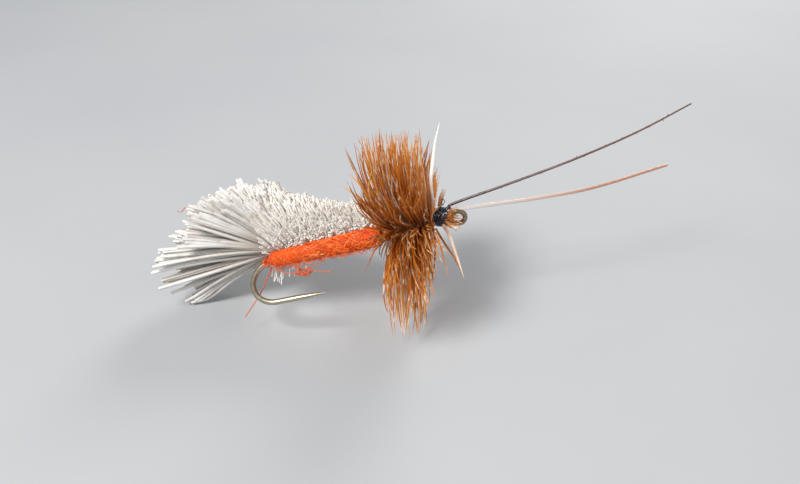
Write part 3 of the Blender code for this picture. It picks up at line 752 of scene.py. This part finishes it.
def rope_wisps(look):
    """Longer fibres that lie on the rope and run round it, more or less with its twist."""
    wisps = 420
    t = along_fibre(13)[..., 0]
    length = DICE.uniform(0.7, 2.6, wisps)[:, None]
    start = DICE.uniform(ROPE_START - 0.05, ROPE_END - 0.5, wisps)[:, None]
    x = np.clip(start + length * t, ROPE_START, ROPE_END)
    twist = DICE.normal(0.5, 0.9, wisps)[:, None]
    sway = 0.25 * np.sin(DICE.uniform(3, 9, (wisps, 1)) * t + DICE.random((wisps, 1)) * 6)
    turn = DICE.uniform(0.0, 2 * math.pi, wisps)[:, None] + twist * (x - start) + sway
    share = 0.94 + 0.05 * np.sin(t * math.pi) + DICE.normal(0.0, 0.03, (wisps, 1))
    ripple = DICE.uniform(5, 14, (wisps, 1)) * t * math.pi
    share = share + 0.03 * np.sin(ripple + DICE.random((wisps, 1)) * 6)
    lines = rope_point(x, turn, share)
    thick = DICE.uniform(0.022, 0.06, wisps)[:, None] * (0.35 + 0.65 * np.sin(t * math.pi) ** 0.6)
    return tubes("rope_wisps", lines, thick, 5, look)


def rope_fuzz(look):
    """Short fine fibres that stand off the rope all round."""
    fuzz = 3200
    count = 6
    t = along_fibre(count)
    x = DICE.uniform(ROPE_START, ROPE_END, fuzz)
    turn = DICE.uniform(0.0, 2 * math.pi, fuzz)
    root = rope_point(x, turn, np.full(fuzz, 0.94))
    out = np.zeros((fuzz, 3))
    out[:, 1:] = root[:, 1:] - rope_centre(x)
    out = unit(out)
    round_it = unit(np.cross(out, SHANKWISE))
    drift = SHANKWISE * DICE.normal(0.2, 0.6, (fuzz, 1)) + round_it * DICE.normal(0.0, 0.6, (fuzz, 1))
    size = 0.16 + 0.4 * DICE.random((fuzz, 1)) ** 3
    way = unit(out * DICE.uniform(0.15, 1.0, (fuzz, 1)) + drift)
    lines = root[:, None] + (way[:, None] * t - out[:, None] * 0.5 * t**2) * size[:, None]
    lines = off_shank(lines + wander(fuzz, count, 0.045))
    thick = DICE.uniform(0.012, 0.024, fuzz)[:, None] * np.linspace(1.0, 0.55, count)[None, :]
    return tubes("rope_fuzz", lines, thick, 3, look)


def rope_strays(look):
    """Long loose fibres that arch off the underside of the rope and come back to it."""
    strays = 120
    count = 14
    t = along_fibre(count)
    x = DICE.uniform(ROPE_START + 0.3, ROPE_END - 1.2, strays)
    turn = DICE.uniform(math.radians(240.0), math.radians(355.0), strays)
    root = rope_point(x, turn, np.full(strays, 0.9))
    run = SHANKWISE * DICE.uniform(-0.9, 1.6, (strays, 1))
    bulge = off_axis(0.0, turn, 1.0) * DICE.uniform(0.15, 0.5, (strays, 1))
    lines = root[:, None] + run[:, None] * t + bulge[:, None] * np.sin(t * math.pi)
    lines = off_shank(lines + wander(strays, count, 0.1))
    return tubes("rope_strays", lines, np.full((strays, count), 0.017), 5, look)


def make_rope(look):
    """Dubbing spun into a rope: its body, wisps that lie on it, and fuzz and strays that stand off it."""
    return joined("dubbed_rope", [rope_body(look), rope_wisps(look), rope_fuzz(look), rope_strays(look)])


def plied(plies, turns, depth=0.14):
    """A section of twisted plies for tubes()."""

    def groove(angle, along):
        return 1.0 - depth * np.abs(np.sin(plies * angle / 2 - turns * along * math.pi)) ** 0.7

    return groove


def strand(name, points, radii, look, count=90, plies=0, turns=0, sides=12):
    route = curve_through(points, count)
    taper = np.interp(np.linspace(0, 1, count), np.linspace(0, 1, len(radii)), radii)
    groove = plied(plies, turns) if plies else None
    return tubes(name, route[None], taper[None], sides, look, groove=groove, own=np.array([0.5]))


def wraps(name, start, end, ring_r, thread_r, look, rise=0.0, slope=0.03, layers=1):
    """Turns of thread side by side round the shank, as one wound line for each layer."""
    turns = max(2, int(round((end - start) / (thread_r * 1.85))))
    t = np.linspace(0.0, 1.0, turns * 28)
    made = []
    for layer in range(layers):
        angle = 2 * math.pi * turns * t + layer
        x = start + (end - start) * (t if layer % 2 == 0 else 1 - t)
        radius = ring_r - layer * thread_r * 1.6 + slope * np.sin(t * math.pi)
        radius = radius + 0.006 * np.sin(7.3 * angle)
        line = off_axis(x, angle, radius, rise)
        made.append(tubes(f"{name}_{layer}", line[None], np.full((1, len(line)), thread_r), 7, look))
    return joined(name, made) if layers > 1 else made[0]


def make_underbody(look):
    """One layer of thread along the shank and down the start of the bend."""
    x = np.linspace(0.78, HEAD_START - 0.02, 420)[:, None]
    angle = np.linspace(0.0, 2 * math.pi, 20, endpoint=False)[None, :]
    radius = 0.3 + 0.014 * np.sin(x * 52.0 + angle)
    bend_drop = BEND_R * (1.0 - np.sqrt(1.0 - (np.minimum(x - BEND_X, 0.0) / BEND_R) ** 2))
    return sheath("underbody_wraps", off_axis(x, angle, radius, -bend_drop), look)


KNOT_LOOPS = (
    [(0.62, -0.35, -0.25), (0.35, -0.5, -0.45), (0.15, -0.5, -0.72), (0.45, -0.5, -0.9), (0.95, -0.6, -0.7)],
    [(0.9, -0.45, -0.3), (0.5, -0.8, -0.5), (0.42, -0.8, -0.85), (0.72, -0.75, -1.1), (1.15, -0.7, -0.85)],
    [(1.0, -0.3, 0.1), (0.6, -0.5, 0.05), (0.3, -0.45, -0.3), (0.55, -0.3, -0.6), (1.0, -0.3, -0.55)],
)


def make_rear_knot(look):
    """Turns of thread round the start of the bend, and the crossing that locks them."""
    turns = 6
    count = turns * 26
    t = np.linspace(0.0, 1.0, count)
    bend = math.radians(19.0) + math.radians(13.0) * t
    angle = 2 * math.pi * turns * t
    centre = np.stack([BEND_X - BEND_R * np.sin(bend), 0 * t, BEND_R * (np.cos(bend) - 1.0)], axis=1)
    up = np.stack([np.sin(bend), 0 * t, -np.cos(bend)], axis=1)
    radius = 0.315 + 0.03 * np.sin(t * math.pi)
    spoke = np.array([0.0, 1.0, 0.0]) * np.cos(angle)[:, None] + up * np.sin(angle)[:, None]
    line = centre + spoke * radius[:, None]
    pieces = [tubes("knot_turns", line[None], np.full((1, count), 0.055), 8, look)]
    for loop in KNOT_LOOPS:
        pieces.append(strand("knot_loop", loop, (0.045, 0.045), look, 60, 3, 20, 8))
    return joined("rope_rear_knot", pieces)


# ---------------------------------------------------------------- hackle


def feather_barbs(span, share):
    """Routes and radii of a feather's barbs, in clumps. Those that point down are shorter and lean back."""
    start, end = span
    first, last = share
    barbs = BARBS_PER_FEATHER
    clump_angle = DICE.uniform(0.0, 2 * math.pi, CLUMPS_PER_FEATHER * 2)
    rise = FLY_UP[1] * np.cos(clump_angle) + FLY_UP[2] * np.sin(clump_angle)
    upward = DICE.random(CLUMPS_PER_FEATHER * 2) > 0.4 * smooth(0.2 - rise)
    clump_angle = clump_angle[upward][:CLUMPS_PER_FEATHER]
    clump_place = DICE.random(CLUMPS_PER_FEATHER)
    clump = DICE.integers(0, CLUMPS_PER_FEATHER, barbs)
    angle = clump_angle[clump] + DICE.normal(0.0, 0.07, barbs)
    place = np.clip(clump_place[clump] + DICE.normal(0.0, 0.1, barbs), 0.0, 1.0)
    in_hackle = first + (last - first) * place
    way_up = FLY_UP[1] * np.cos(angle) + FLY_UP[2] * np.sin(angle)
    downward = smooth((0.2 - way_up) / 1.1)
    spread = HACKLE_SPREAD * (2 * in_hackle - 1) * (1.0 - 0.85 * downward)
    lean = HACKLE_LEAN - HACKLE_FLOOR_LEAN * downward + spread + DICE.normal(0.0, 0.035, barbs)
    longest = HACKLE_R[0] + (HACKLE_R[1] - HACKLE_R[0]) * in_hackle * (1.0 - downward)
    short = DICE.random(barbs) < 0.25 + 0.4 * downward
    reach = longest * np.where(short, DICE.uniform(0.62, 0.9, barbs), DICE.uniform(0.9, 1.0, barbs))
    spoke = off_axis(0.0, angle, 1.0)
    round_it = off_axis(0.0, angle + math.pi / 2, 1.0)
    t = along_fibre(16)
    root = off_axis(start + (end - start) * place, angle, HACKLE_ROOT_R)
    out = spoke[:, None] * (reach - HACKLE_ROOT_R)[:, None, None] * t
    shift = SHANKWISE * (np.tan(lean) * reach)[:, None, None] * t
    bow = SHANKWISE * DICE.normal(-0.25, 0.25, barbs)[:, None, None] * np.sin(t * math.pi)
    swing = round_it[:, None] * (DICE.normal(0.0, 0.32, barbs)[:, None, None] * t**2)
    curl = round_it[:, None] * (DICE.normal(0.0, 0.12, barbs)[:, None, None] * np.sin(t * math.pi))
    lines = rest_on_floor(root[:, None] + out + shift + bow + swing + curl, 1.0, 0.02)
    t = t[..., 0]
    full = DICE.uniform(0.05, 0.085, barbs)[:, None]
    radii = full * (0.7 + 0.3 * smooth(t / 0.25)) * (1.0 - t**3.0) ** 0.8 + 0.006
    return lines, radii, spoke, round_it


def loose_barb(thick, tone, points, look):
    """A single barb on its own route. tone picks its colour from the hackle's."""
    count = 30
    route = curve_through(points, count)
    taper = thick * (1.0 - np.linspace(0.0, 1.0, count) ** 3) + 0.008
    return tubes("loose_barb", route[None], taper[None], 6, look, own=np.array([tone]))


def feather_web(lines, spoke, round_it, look):
    """The downy fibres near the barbs' roots."""
    count = 5
    k = DICE.integers(0, len(lines), WEB_FIBRES)
    at = DICE.uniform(0.02, 0.3, WEB_FIBRES)
    seat = lines[k, (at * (lines.shape[1] - 1)).astype(int)]
    aside = round_it[k] * DICE.choice([-1, 1], (WEB_FIBRES, 1)) * 0.9
    way = unit(spoke[k] + aside + DICE.normal(0, 0.2, (WEB_FIBRES, 3)))
    web = seat[:, None] + way[:, None] * along_fibre(count) * DICE.uniform(0.3, 0.9, (WEB_FIBRES, 1, 1))
    web = rest_on_floor(web + wander(WEB_FIBRES, count, 0.05), 0.5, 0.02)
    return tubes("web", web, np.linspace(0.014, 0.005, count)[None], 3, look)


def make_feather(name, span, share, look, first_turn, loose):
    """A wound feather: glossy barbs, a few on their own routes, downy web and the turns of its stem."""
    start, end = span
    lines, radii, spoke, round_it = feather_barbs(span, share)
    pieces = [tubes("barbs", lines, radii, 5, look)]
    for thick, tone, points in loose:
        pieces.append(loose_barb(thick, tone, points, look))
    pieces.append(feather_web(lines, spoke, round_it, look))
    turns = 5
    t = np.linspace(0.0, 1.0, turns * 30)
    wound = 2 * math.pi * turns * t + first_turn
    stem = off_axis(start + 0.1 + (end - start - 0.2) * t, wound, STEM_COIL_R)
    pieces.append(tubes("stem", stem[None], np.full((1, len(t)), 0.1), 8, look, own=np.array([0.3])))
    return joined(name, pieces)


# ---------------------------------------------------------------- antennae and head


PORT_ANTENNA = (
    [(14.75, 0.2, 0.86), (15.26, 0.2, 0.88), (15.95, 0.27, 0.92), (16.5, 0.42, 1.16)]
    + [(19.6, 1.5, 1.62), (23.7, 2.8, 2.15), (28.1, 4.2, 3.02), (34.6, 6.2, 5.1)]
)
STARBOARD_ANTENNA = (
    [(14.75, -0.2, 0.86), (15.26, -0.2, 0.88), (15.95, -0.27, 0.93), (16.5, -0.36, 1.2)]
    + [(21.0, -0.9, 1.45), (26.3, -1.65, 1.76), (31.5, -2.4, 2.4), (36.0, -3.2, 3.3)]
)


def make_antennae(pale, dark):
    """Two stripped quills. The dark one keeps the stubs of its barbs."""
    count = 160
    port_radii = (0.13, 0.14, 0.16, 0.18, 0.165, 0.15, 0.135, 0.12)
    starboard_radii = (0.1, 0.11, 0.12, 0.115, 0.1, 0.09, 0.075, 0.06)
    port = strand("quill_port", PORT_ANTENNA, port_radii, pale, count)
    quill = strand("quill_stem", STARBOARD_ANTENNA, starboard_radii, dark, count)
    nubs = 90
    seat = curve_through(STARBOARD_ANTENNA, count)[DICE.integers(12, 157, nubs)]
    way = unit(DICE.normal(0.0, 1.0, (nubs, 3)) * (0.4, 1.0, 1.0) + (0.9, 0.0, 0.0))
    lines = seat[:, None] + way[:, None] * along_fibre(3) * DICE.uniform(0.12, 0.24, (nubs, 1, 1))
    stubs = tubes("quill_nubs", lines, np.linspace(0.035, 0.018, 3)[None], 5, dark)
    return port, joined("quill_starboard", [quill, stubs])


HEAD_LOOPS = (
    [(14.6, -0.45, 1.2), (14.8, -0.9, 0.85), (15.2, -0.97, 0.2), (15.5, -0.7, -0.3)],
    [(14.7, -0.6, -0.25), (15.0, -0.95, 0.15), (15.35, -0.85, 0.8), (15.6, -0.5, 1.2)],
    [(15.1, -0.75, -0.1), (15.5, -0.95, 0.3), (15.9, -0.6, 0.8), (16.2, -0.35, 0.5), (16.15, -0.4, 0.0)],
    [(15.3, -0.8, 0.7), (15.55, -0.6, 1.15), (15.75, -0.4, 1.55), (15.6, -0.5, 1.75), (15.5, -0.6, 1.2)],
    [(14.5, -0.75, 0.9), (14.45, -1.0, 0.5), (14.6, -1.0, 0.0), (14.85, -0.85, -0.3)],
    [(14.45, -0.4, 1.25), (14.35, -0.9, 0.95), (14.5, -1.05, 0.45), (14.9, -1.0, 0.6)],
)


def make_head(look):
    """Wraps that taper to both ends, loops that cross them, and a fill that closes the gaps."""
    start = HEAD_START + 0.03
    end = HEAD_END - 0.05
    pieces = [wraps("head_wraps", start, end, HEAD_R - 0.2, 0.042, look, HEAD_RISE, 0.17, 2)]
    for loop in HEAD_LOOPS:
        pieces.append(strand("head_loop", loop, (0.036, 0.036), look, 60, 3, 20, 8))
    x = np.linspace(HEAD_START + 0.02, HEAD_END - 0.02, 12)[:, None]
    angle = np.linspace(0.0, 2 * math.pi, 40, endpoint=False)[None, :]
    radius = HEAD_R - 0.23 + 0.17 * np.sin((x - HEAD_START) / (HEAD_END - HEAD_START) * math.pi)
    pieces.append(sheath("head_fill", off_axis(x, angle, radius, HEAD_RISE), look))
    return joined("head_wraps", pieces)


def make_cement(look):
    """A drop of dried varnish on the lower starboard side of the head."""
    u = np.linspace(0.0, 1.0, 22)[:, None]
    v = np.linspace(0.0, 2 * math.pi, 28, endpoint=False)[None, :]
    dome = np.sin(u * math.pi / 2)
    swell = np.cos(u * math.pi / 2)
    out = off_axis(0.0, CEMENT_SIDE, 1.0)
    round_it = off_axis(0.0, CEMENT_SIDE + math.pi / 2, 1.0)
    centre = np.array([HEAD_END - 0.32, 0.0, HEAD_RISE]) + out * (HEAD_R - 0.06)
    drop = (
        centre
        + SHANKWISE * (swell * np.cos(v) * 0.3)[..., None]
        + round_it * (swell * np.sin(v) * 0.42)[..., None]
        + out * (dome + 0 * v)[..., None] * 0.12
    )
    return sheath("varnish_bead", drop[::-1], look)


def make_head_fibres(look):
    """Cut hackle fibres caught under the head's thread, which stick out round the eye."""
    fibres = EYE_FIBRES
    count = 9
    angle = DICE.uniform(math.radians(150.0), math.radians(330.0), fibres)
    share = np.sqrt(DICE.random(fibres))
    across = share * np.cos(angle)
    up = share * np.sin(angle)
    seat = np.stack([DICE.uniform(15.3, 15.9, fibres), 0.5 * across, 0.15 + 0.45 * up], axis=1)
    way = np.stack([DICE.uniform(0.5, 1.2, fibres), 0.5 * across, 0.6 * up], axis=1)
    way = unit(way + DICE.normal(0.0, 0.25, (fibres, 3)))
    lines = seat[:, None] + way[:, None] * (along_fibre(count) * DICE.uniform(0.5, 1.3, (fibres, 1, 1)))
    lines = lines + wander(fibres, count, 0.16)
    radii = DICE.uniform(0.03, 0.055, (fibres, 1)) * np.linspace(1.0, 0.35, count)[None]
    return tubes("head_fibres", lines, radii, 5, look)


BUTT_TOP = [(15.24, -0.3, 1.3), (15.5, -0.38, 1.98), (15.86, -0.5, 2.63)]
BUTT_UNDER = [(15.6, -0.3, -0.4), (15.95, -0.45, -1.05), (16.38, -0.6, -1.56)]
STEM_TIP = (
    [(14.75, -0.8, 0.75), (14.98, -1.9, 1.05), (15.17, -3.0, 1.85)]
    + [(15.6, -3.6, 3.07), (16.12, -4.15, 4.65), (16.8, -4.85, 6.0)]
)
TANGLE_KNOT = np.array([3.6, -0.4, -2.2])
TANGLE_SAG = (
    [(1.25, -0.6, -1.0), (1.55, -0.6, -1.5), (2.1, -0.6, -2.0)]
    + [(2.9, -0.45, -2.2), (3.3, -0.4, -2.1)]
)
TANGLE_END = [(4.3, -0.45, -2.3), (4.75, -0.5, -2.5), (5.35, -0.5, -2.7), (5.95, -0.5, -2.86)]
TANGLE_SWAGS = (
    [(4.0, -0.5, -2.0), (4.7, -0.7, -1.95), (5.4, -0.7, -1.7), (6.0, -0.6, -1.5), (6.6, -0.5, -1.2)],
    [(2.5, -0.9, -0.9), (2.75, -0.95, -1.35), (3.2, -0.8, -1.85), (3.6, -0.5, -2.0)],
    [(3.1, -0.3, -1.0), (3.3, -0.3, -1.5), (3.2, -0.3, -1.9), (3.6, -0.3, -2.4), (4.0, -0.4, -2.3)],
    [(6.0, -0.6, -1.1), (6.7, -0.5, -1.55), (7.5, -0.5, -1.6), (8.4, -0.5, -1.45), (9.3, -0.5, -1.1)],
)
WHISKER = (
    [(0.66, 0.4, -0.5), (0.5, 0.45, -0.95), (0.21, 0.5, -1.4)]
    + [(-0.35, 0.95, -2.1), (-1.2, 1.2, -3.1), (-2.1, 1.5, -4.0)]
)
TAIL_CURL = [(-5.2, -2.8, 4.9), (-5.65, -2.8, 5.2), (-6.05, -2.7, 4.95), (-6.4, -2.8, 5.1)]


def make_tangle(look):
    """Loose thread that sags under the rope, knots itself and ends free, with swags that cross it."""
    ways = unit(DICE.normal(0.0, 1.0, (12, 3)))
    knot = TANGLE_KNOT + ways * (0.78, 0.5, 0.52) * DICE.uniform(0.8, 1.0, (12, 1))
    route = TANGLE_SAG + [tuple(point) for point in knot] + TANGLE_END
    tangle = [strand("tangle_thread", route, (0.042, 0.044), look, 520, 3, 150)]
    for swag in TANGLE_SWAGS:
        tangle.append(strand("tangle_swag", swag, (0.035, 0.035), look, 90, 3, 30, 8))
    return joined("loose_tangle", tangle)


# ---------------------------------------------------------------- stage


def area_light(name, place, aim, size, power, colour):
    data = bpy.data.lights.new(name, "AREA")
    data.shape = "DISK"
    data.size = size
    data.energy = power
    data.color = colour
    light = bpy.data.objects.new(name, data)
    light.location = place
    light.rotation_mode = "QUATERNION"
    light.rotation_quaternion = (Vector(aim) - Vector(place)).to_track_quat("-Z", "Y")
    bpy.context.scene.collection.objects.link(light)


def make_stage():
    scene = bpy.context.scene
    data = bpy.data.cameras.new("camera")
    data.lens = CAMERA_LENS
    data.clip_start = 0.002
    data.clip_end = 10.0
    camera = bpy.data.objects.new("camera", data)
    back = Vector((0.0, -math.cos(CAMERA_ELEVATION), math.sin(CAMERA_ELEVATION)))
    camera.location = fly_matrix() @ Vector(CAMERA_AIM) + back * CAMERA_DISTANCE
    camera.rotation_mode = "QUATERNION"
    camera.rotation_quaternion = (-back).to_track_quat("-Z", "Y")
    scene.collection.objects.link(camera)
    scene.camera = camera

    bpy.ops.mesh.primitive_plane_add(size=FLOOR_SIZE, location=(0.0, 0.0, 0.0))
    floor = bpy.context.object
    floor.name = "studio_floor"
    floor.data.materials.append(floor_look())

    area_light("key", (-0.13, -0.14, 0.22), (0.0, 0.0, 0.005), 0.10, 0.84, (1.0, 0.98, 0.95))
    area_light("fill", (0.22, -0.14, 0.10), (0.0, 0.0, 0.005), 0.20, 0.13, (0.93, 0.96, 1.0))
    area_light("rim", (0.08, 0.2, 0.14), (0.0, 0.0, 0.008), 0.12, 0.3, (1.0, 0.98, 0.95))
    world = bpy.data.worlds.new("studio")
    world.use_nodes = True
    world.node_tree.nodes["Background"].inputs["Color"].default_value = (0.85, 0.88, 0.92, 1.0)
    world.node_tree.nodes["Background"].inputs["Strength"].default_value = 0.38
    scene.world = world
    scene.view_settings.view_transform = "Standard"


# Single barbs on their own routes: thickness, tone and points.
UPPER_BACK_BARB = (
    [(11.0, -0.4, 0.3), (10.3, -1.3, 1.1), (9.67, -2.0, 1.85)]
    + [(8.6, -2.1, 3.2), (7.67, -2.0, 4.31)]
)
TOP_BACK_BARB = (
    [(11.2, -0.4, 0.4), (10.5, -1.4, 1.7), (9.85, -2.0, 2.83)]
    + [(9.1, -2.1, 4.2), (8.44, -2.0, 5.37)]
)
SWEPT_BACK = (
    (0.1, 0.85, UPPER_BACK_BARB),
    (0.1, 0.7, TOP_BACK_BARB),
    (0.08, 0.2, [(11.0, -0.3, -0.4), (10.4, -1.2, -1.6), (9.8, -1.9, -2.8), (9.0, -2.0, -4.5)]),
)
LOWEST_BARB = (
    [(14.4, -0.3, -0.5), (14.7, -1.3, -1.8), (14.94, -2.0, -3.12)]
    + [(15.1, -2.1, -5.0), (15.2, -2.0, -6.83)]
)
FOREMOST_BARB = (
    [(15.3, -0.5, -0.8), (15.65, -0.8, -1.92), (15.9, -1.2, -3.59)]
    + [(16.12, -1.5, -5.29), (16.32, -1.6, -6.84)]
)
HANGING = (
    (0.085, 0.5, LOWEST_BARB),
    (0.12, 0.99, FOREMOST_BARB),
    (0.085, 0.4, [(14.6, 0.2, -0.5), (15.1, 0.4, -1.9), (15.7, 0.3, -3.6), (16.1, 0.2, -5.2)]),
    (0.11, 0.6, [(14.6, -0.4, 0.8), (15.0, -0.9, 2.0), (15.3, -1.2, 3.4), (15.55, -1.3, 4.6)]),
    (0.09, 0.3, [(14.6, -0.6, 0.6), (15.0, -1.0, 1.6), (15.25, -1.2, 2.5), (15.4, -1.3, 3.5)]),
)
ROPE_CORE = (
    [(0.64, -0.52, -0.38), (0.82, -0.6, -0.46), (1.4, -0.63, -0.49)]
    + [(5.5, -0.67, -0.54), (10.2, -0.72, -0.6), (10.57, -0.64, -0.54)]
)


def dress_body(orange_thread):
    """The hook, its underbody, the spun bunches on their cinch bands, and the tail."""
    body_hair = hair_look("clipped_deer_hair", (0.79, 0.77, 0.73), (0.48, 0.41, 0.34), (0.30, 0.24, 0.19))
    tail_hair = hair_look("tail_deer_hair", (0.81, 0.80, 0.77), (0.40, 0.33, 0.27), (0.20, 0.15, 0.11))
    white_thread = thread_look("white_thread", (0.55, 0.52, 0.46), (0.82, 0.8, 0.74))
    stands_for(make_hook(wire_look()), "hook_wire", "hook")
    stands_for(make_underbody(orange_thread), "orange_thread", "thread_underbody")
    edges = np.linspace(BODY_START, BODY_END, BUNCHES + 1)
    for k in range(BUNCHES):
        stands_for(make_bunch(k, body_hair), "clipped_hair", f"hair_bunch_{k + 1}")
        middle = (edges[k] + edges[k + 1]) / 2
        band = wraps(f"cinch_wraps_{k + 1}", middle - 0.2, middle + 0.2, 0.4, 0.035, white_thread)
        stands_for(band, "white_thread", f"cinch_band_{k + 1}")
    goes_with(make_belly_stubs(body_hair))
    stands_for(make_tail_fan(tail_hair), "tail_hair", "tail_fan")


def dress_belly(orange_thread):
    """The dubbed rope, its core, and the thread that holds both of its ends."""
    stands_for(make_rope(dubbing_look()), "orange_dubbing", "belly_rope")
    core = strand("rope_core", ROPE_CORE, (0.09, 0.09), orange_thread, 200, 2, 80)
    stands_for(core, "orange_thread", "rope_core_thread")
    stands_for(make_rear_knot(orange_thread), "orange_thread", "rear_tie_knot")
    start = ROPE_END + 0.14
    end = REAR_FEATHER[0] - 0.09
    tie = wraps("rope_front_wraps", start, end, 0.53, 0.045, orange_thread, layers=2)
    stands_for(tie, "orange_thread", "rope_tie_down")


def dress_front(orange_thread):
    """The hackle, the antennae, the head and the loose ends."""
    # The black thread's bright streaks are tinted blue: a painted sheen that stands in for bluish highlights
    # on the glossy thread.
    black_thread = thread_look("black_thread", (0.003, 0.004, 0.007), (0.014, 0.02, 0.045), 0.24, 0.5)
    varnish = thread_look("clear_varnish", (0.01, 0.01, 0.012), (0.035, 0.033, 0.04), 0.15, 1.0)
    ginger = hackle_look()
    ginger_quill = quill_look("ginger_quill", (0.55, 0.17, 0.03), (0.62, 0.24, 0.06), (0.9, 0.82, 0.72), 0.35)
    white_quill = quill_look("white_quill", (0.62, 0.42, 0.28), (0.88, 0.85, 0.80), (0.9, 0.88, 0.84), 0.2)
    # The pale quill's near-white base is partly the quill's own pale colour and partly a painted highlight,
    # whitened to stand in for the shine along it.
    pale_quill = quill_look("pale_quill", (1.0, 0.99, 0.97), (0.97, 0.92, 0.87), (0.46, 0.19, 0.09), 0.15)
    dark_quill = quill_look("dark_quill", (0.06, 0.014, 0.01), (0.04, 0.009, 0.007), (0.16, 0.07, 0.05), 0.3)

    rear = make_feather("hackle_rear", REAR_FEATHER, (0.0, 0.5), ginger, 0.0, SWEPT_BACK)
    stands_for(rear, "ginger_hackle", "hackle_feather_rear")
    front = make_feather("hackle_front", FRONT_FEATHER, (0.5, 1.0), ginger, 1.0, HANGING)
    stands_for(front, "ginger_hackle", "hackle_feather_front")
    port, starboard = make_antennae(pale_quill, dark_quill)
    stands_for(port, "pale_quill", "antenna_port")
    stands_for(starboard, "dark_quill", "antenna_starboard")
    stands_for(make_head(black_thread), "black_thread", "head_thread")
    stands_for(make_cement(varnish), "head_varnish", "head_cement")
    goes_with(make_head_fibres(ginger))

    top = strand("butt_top", BUTT_TOP, (0.15, 0.2, 0.17), ginger_quill, 24)
    stands_for(top, "ginger_quill", "hackle_butt_top")
    under = strand("butt_under", BUTT_UNDER, (0.12, 0.16, 0.14), ginger_quill, 24)
    stands_for(under, "ginger_quill", "hackle_butt_under")
    stem = strand("bare_stem_tip", STEM_TIP, (0.08, 0.1, 0.14, 0.175, 0.12, 0.015), white_quill, 60)
    stands_for(stem, "white_quill", "feather_stem_tip")
    stands_for(make_tangle(orange_thread), "orange_thread", "thread_tangle")
    whisker = strand("loose_whisker", WHISKER, (0.06, 0.045), orange_thread, 160, 3, 60)
    stands_for(whisker, "orange_thread", "thread_whisker")
    curl = strand("tail_curl", TAIL_CURL, (0.05, 0.03), orange_thread, 90, 3, 30)
    stands_for(curl, "orange_thread", "tail_thread_curl")


def main():
    make_stage()
    orange_thread = thread_look("orange_thread", (0.42, 0.04, 0.01), (0.85, 0.16, 0.03))
    dress_body(orange_thread)
    dress_belly(orange_thread)
    dress_front(orange_thread)


main()
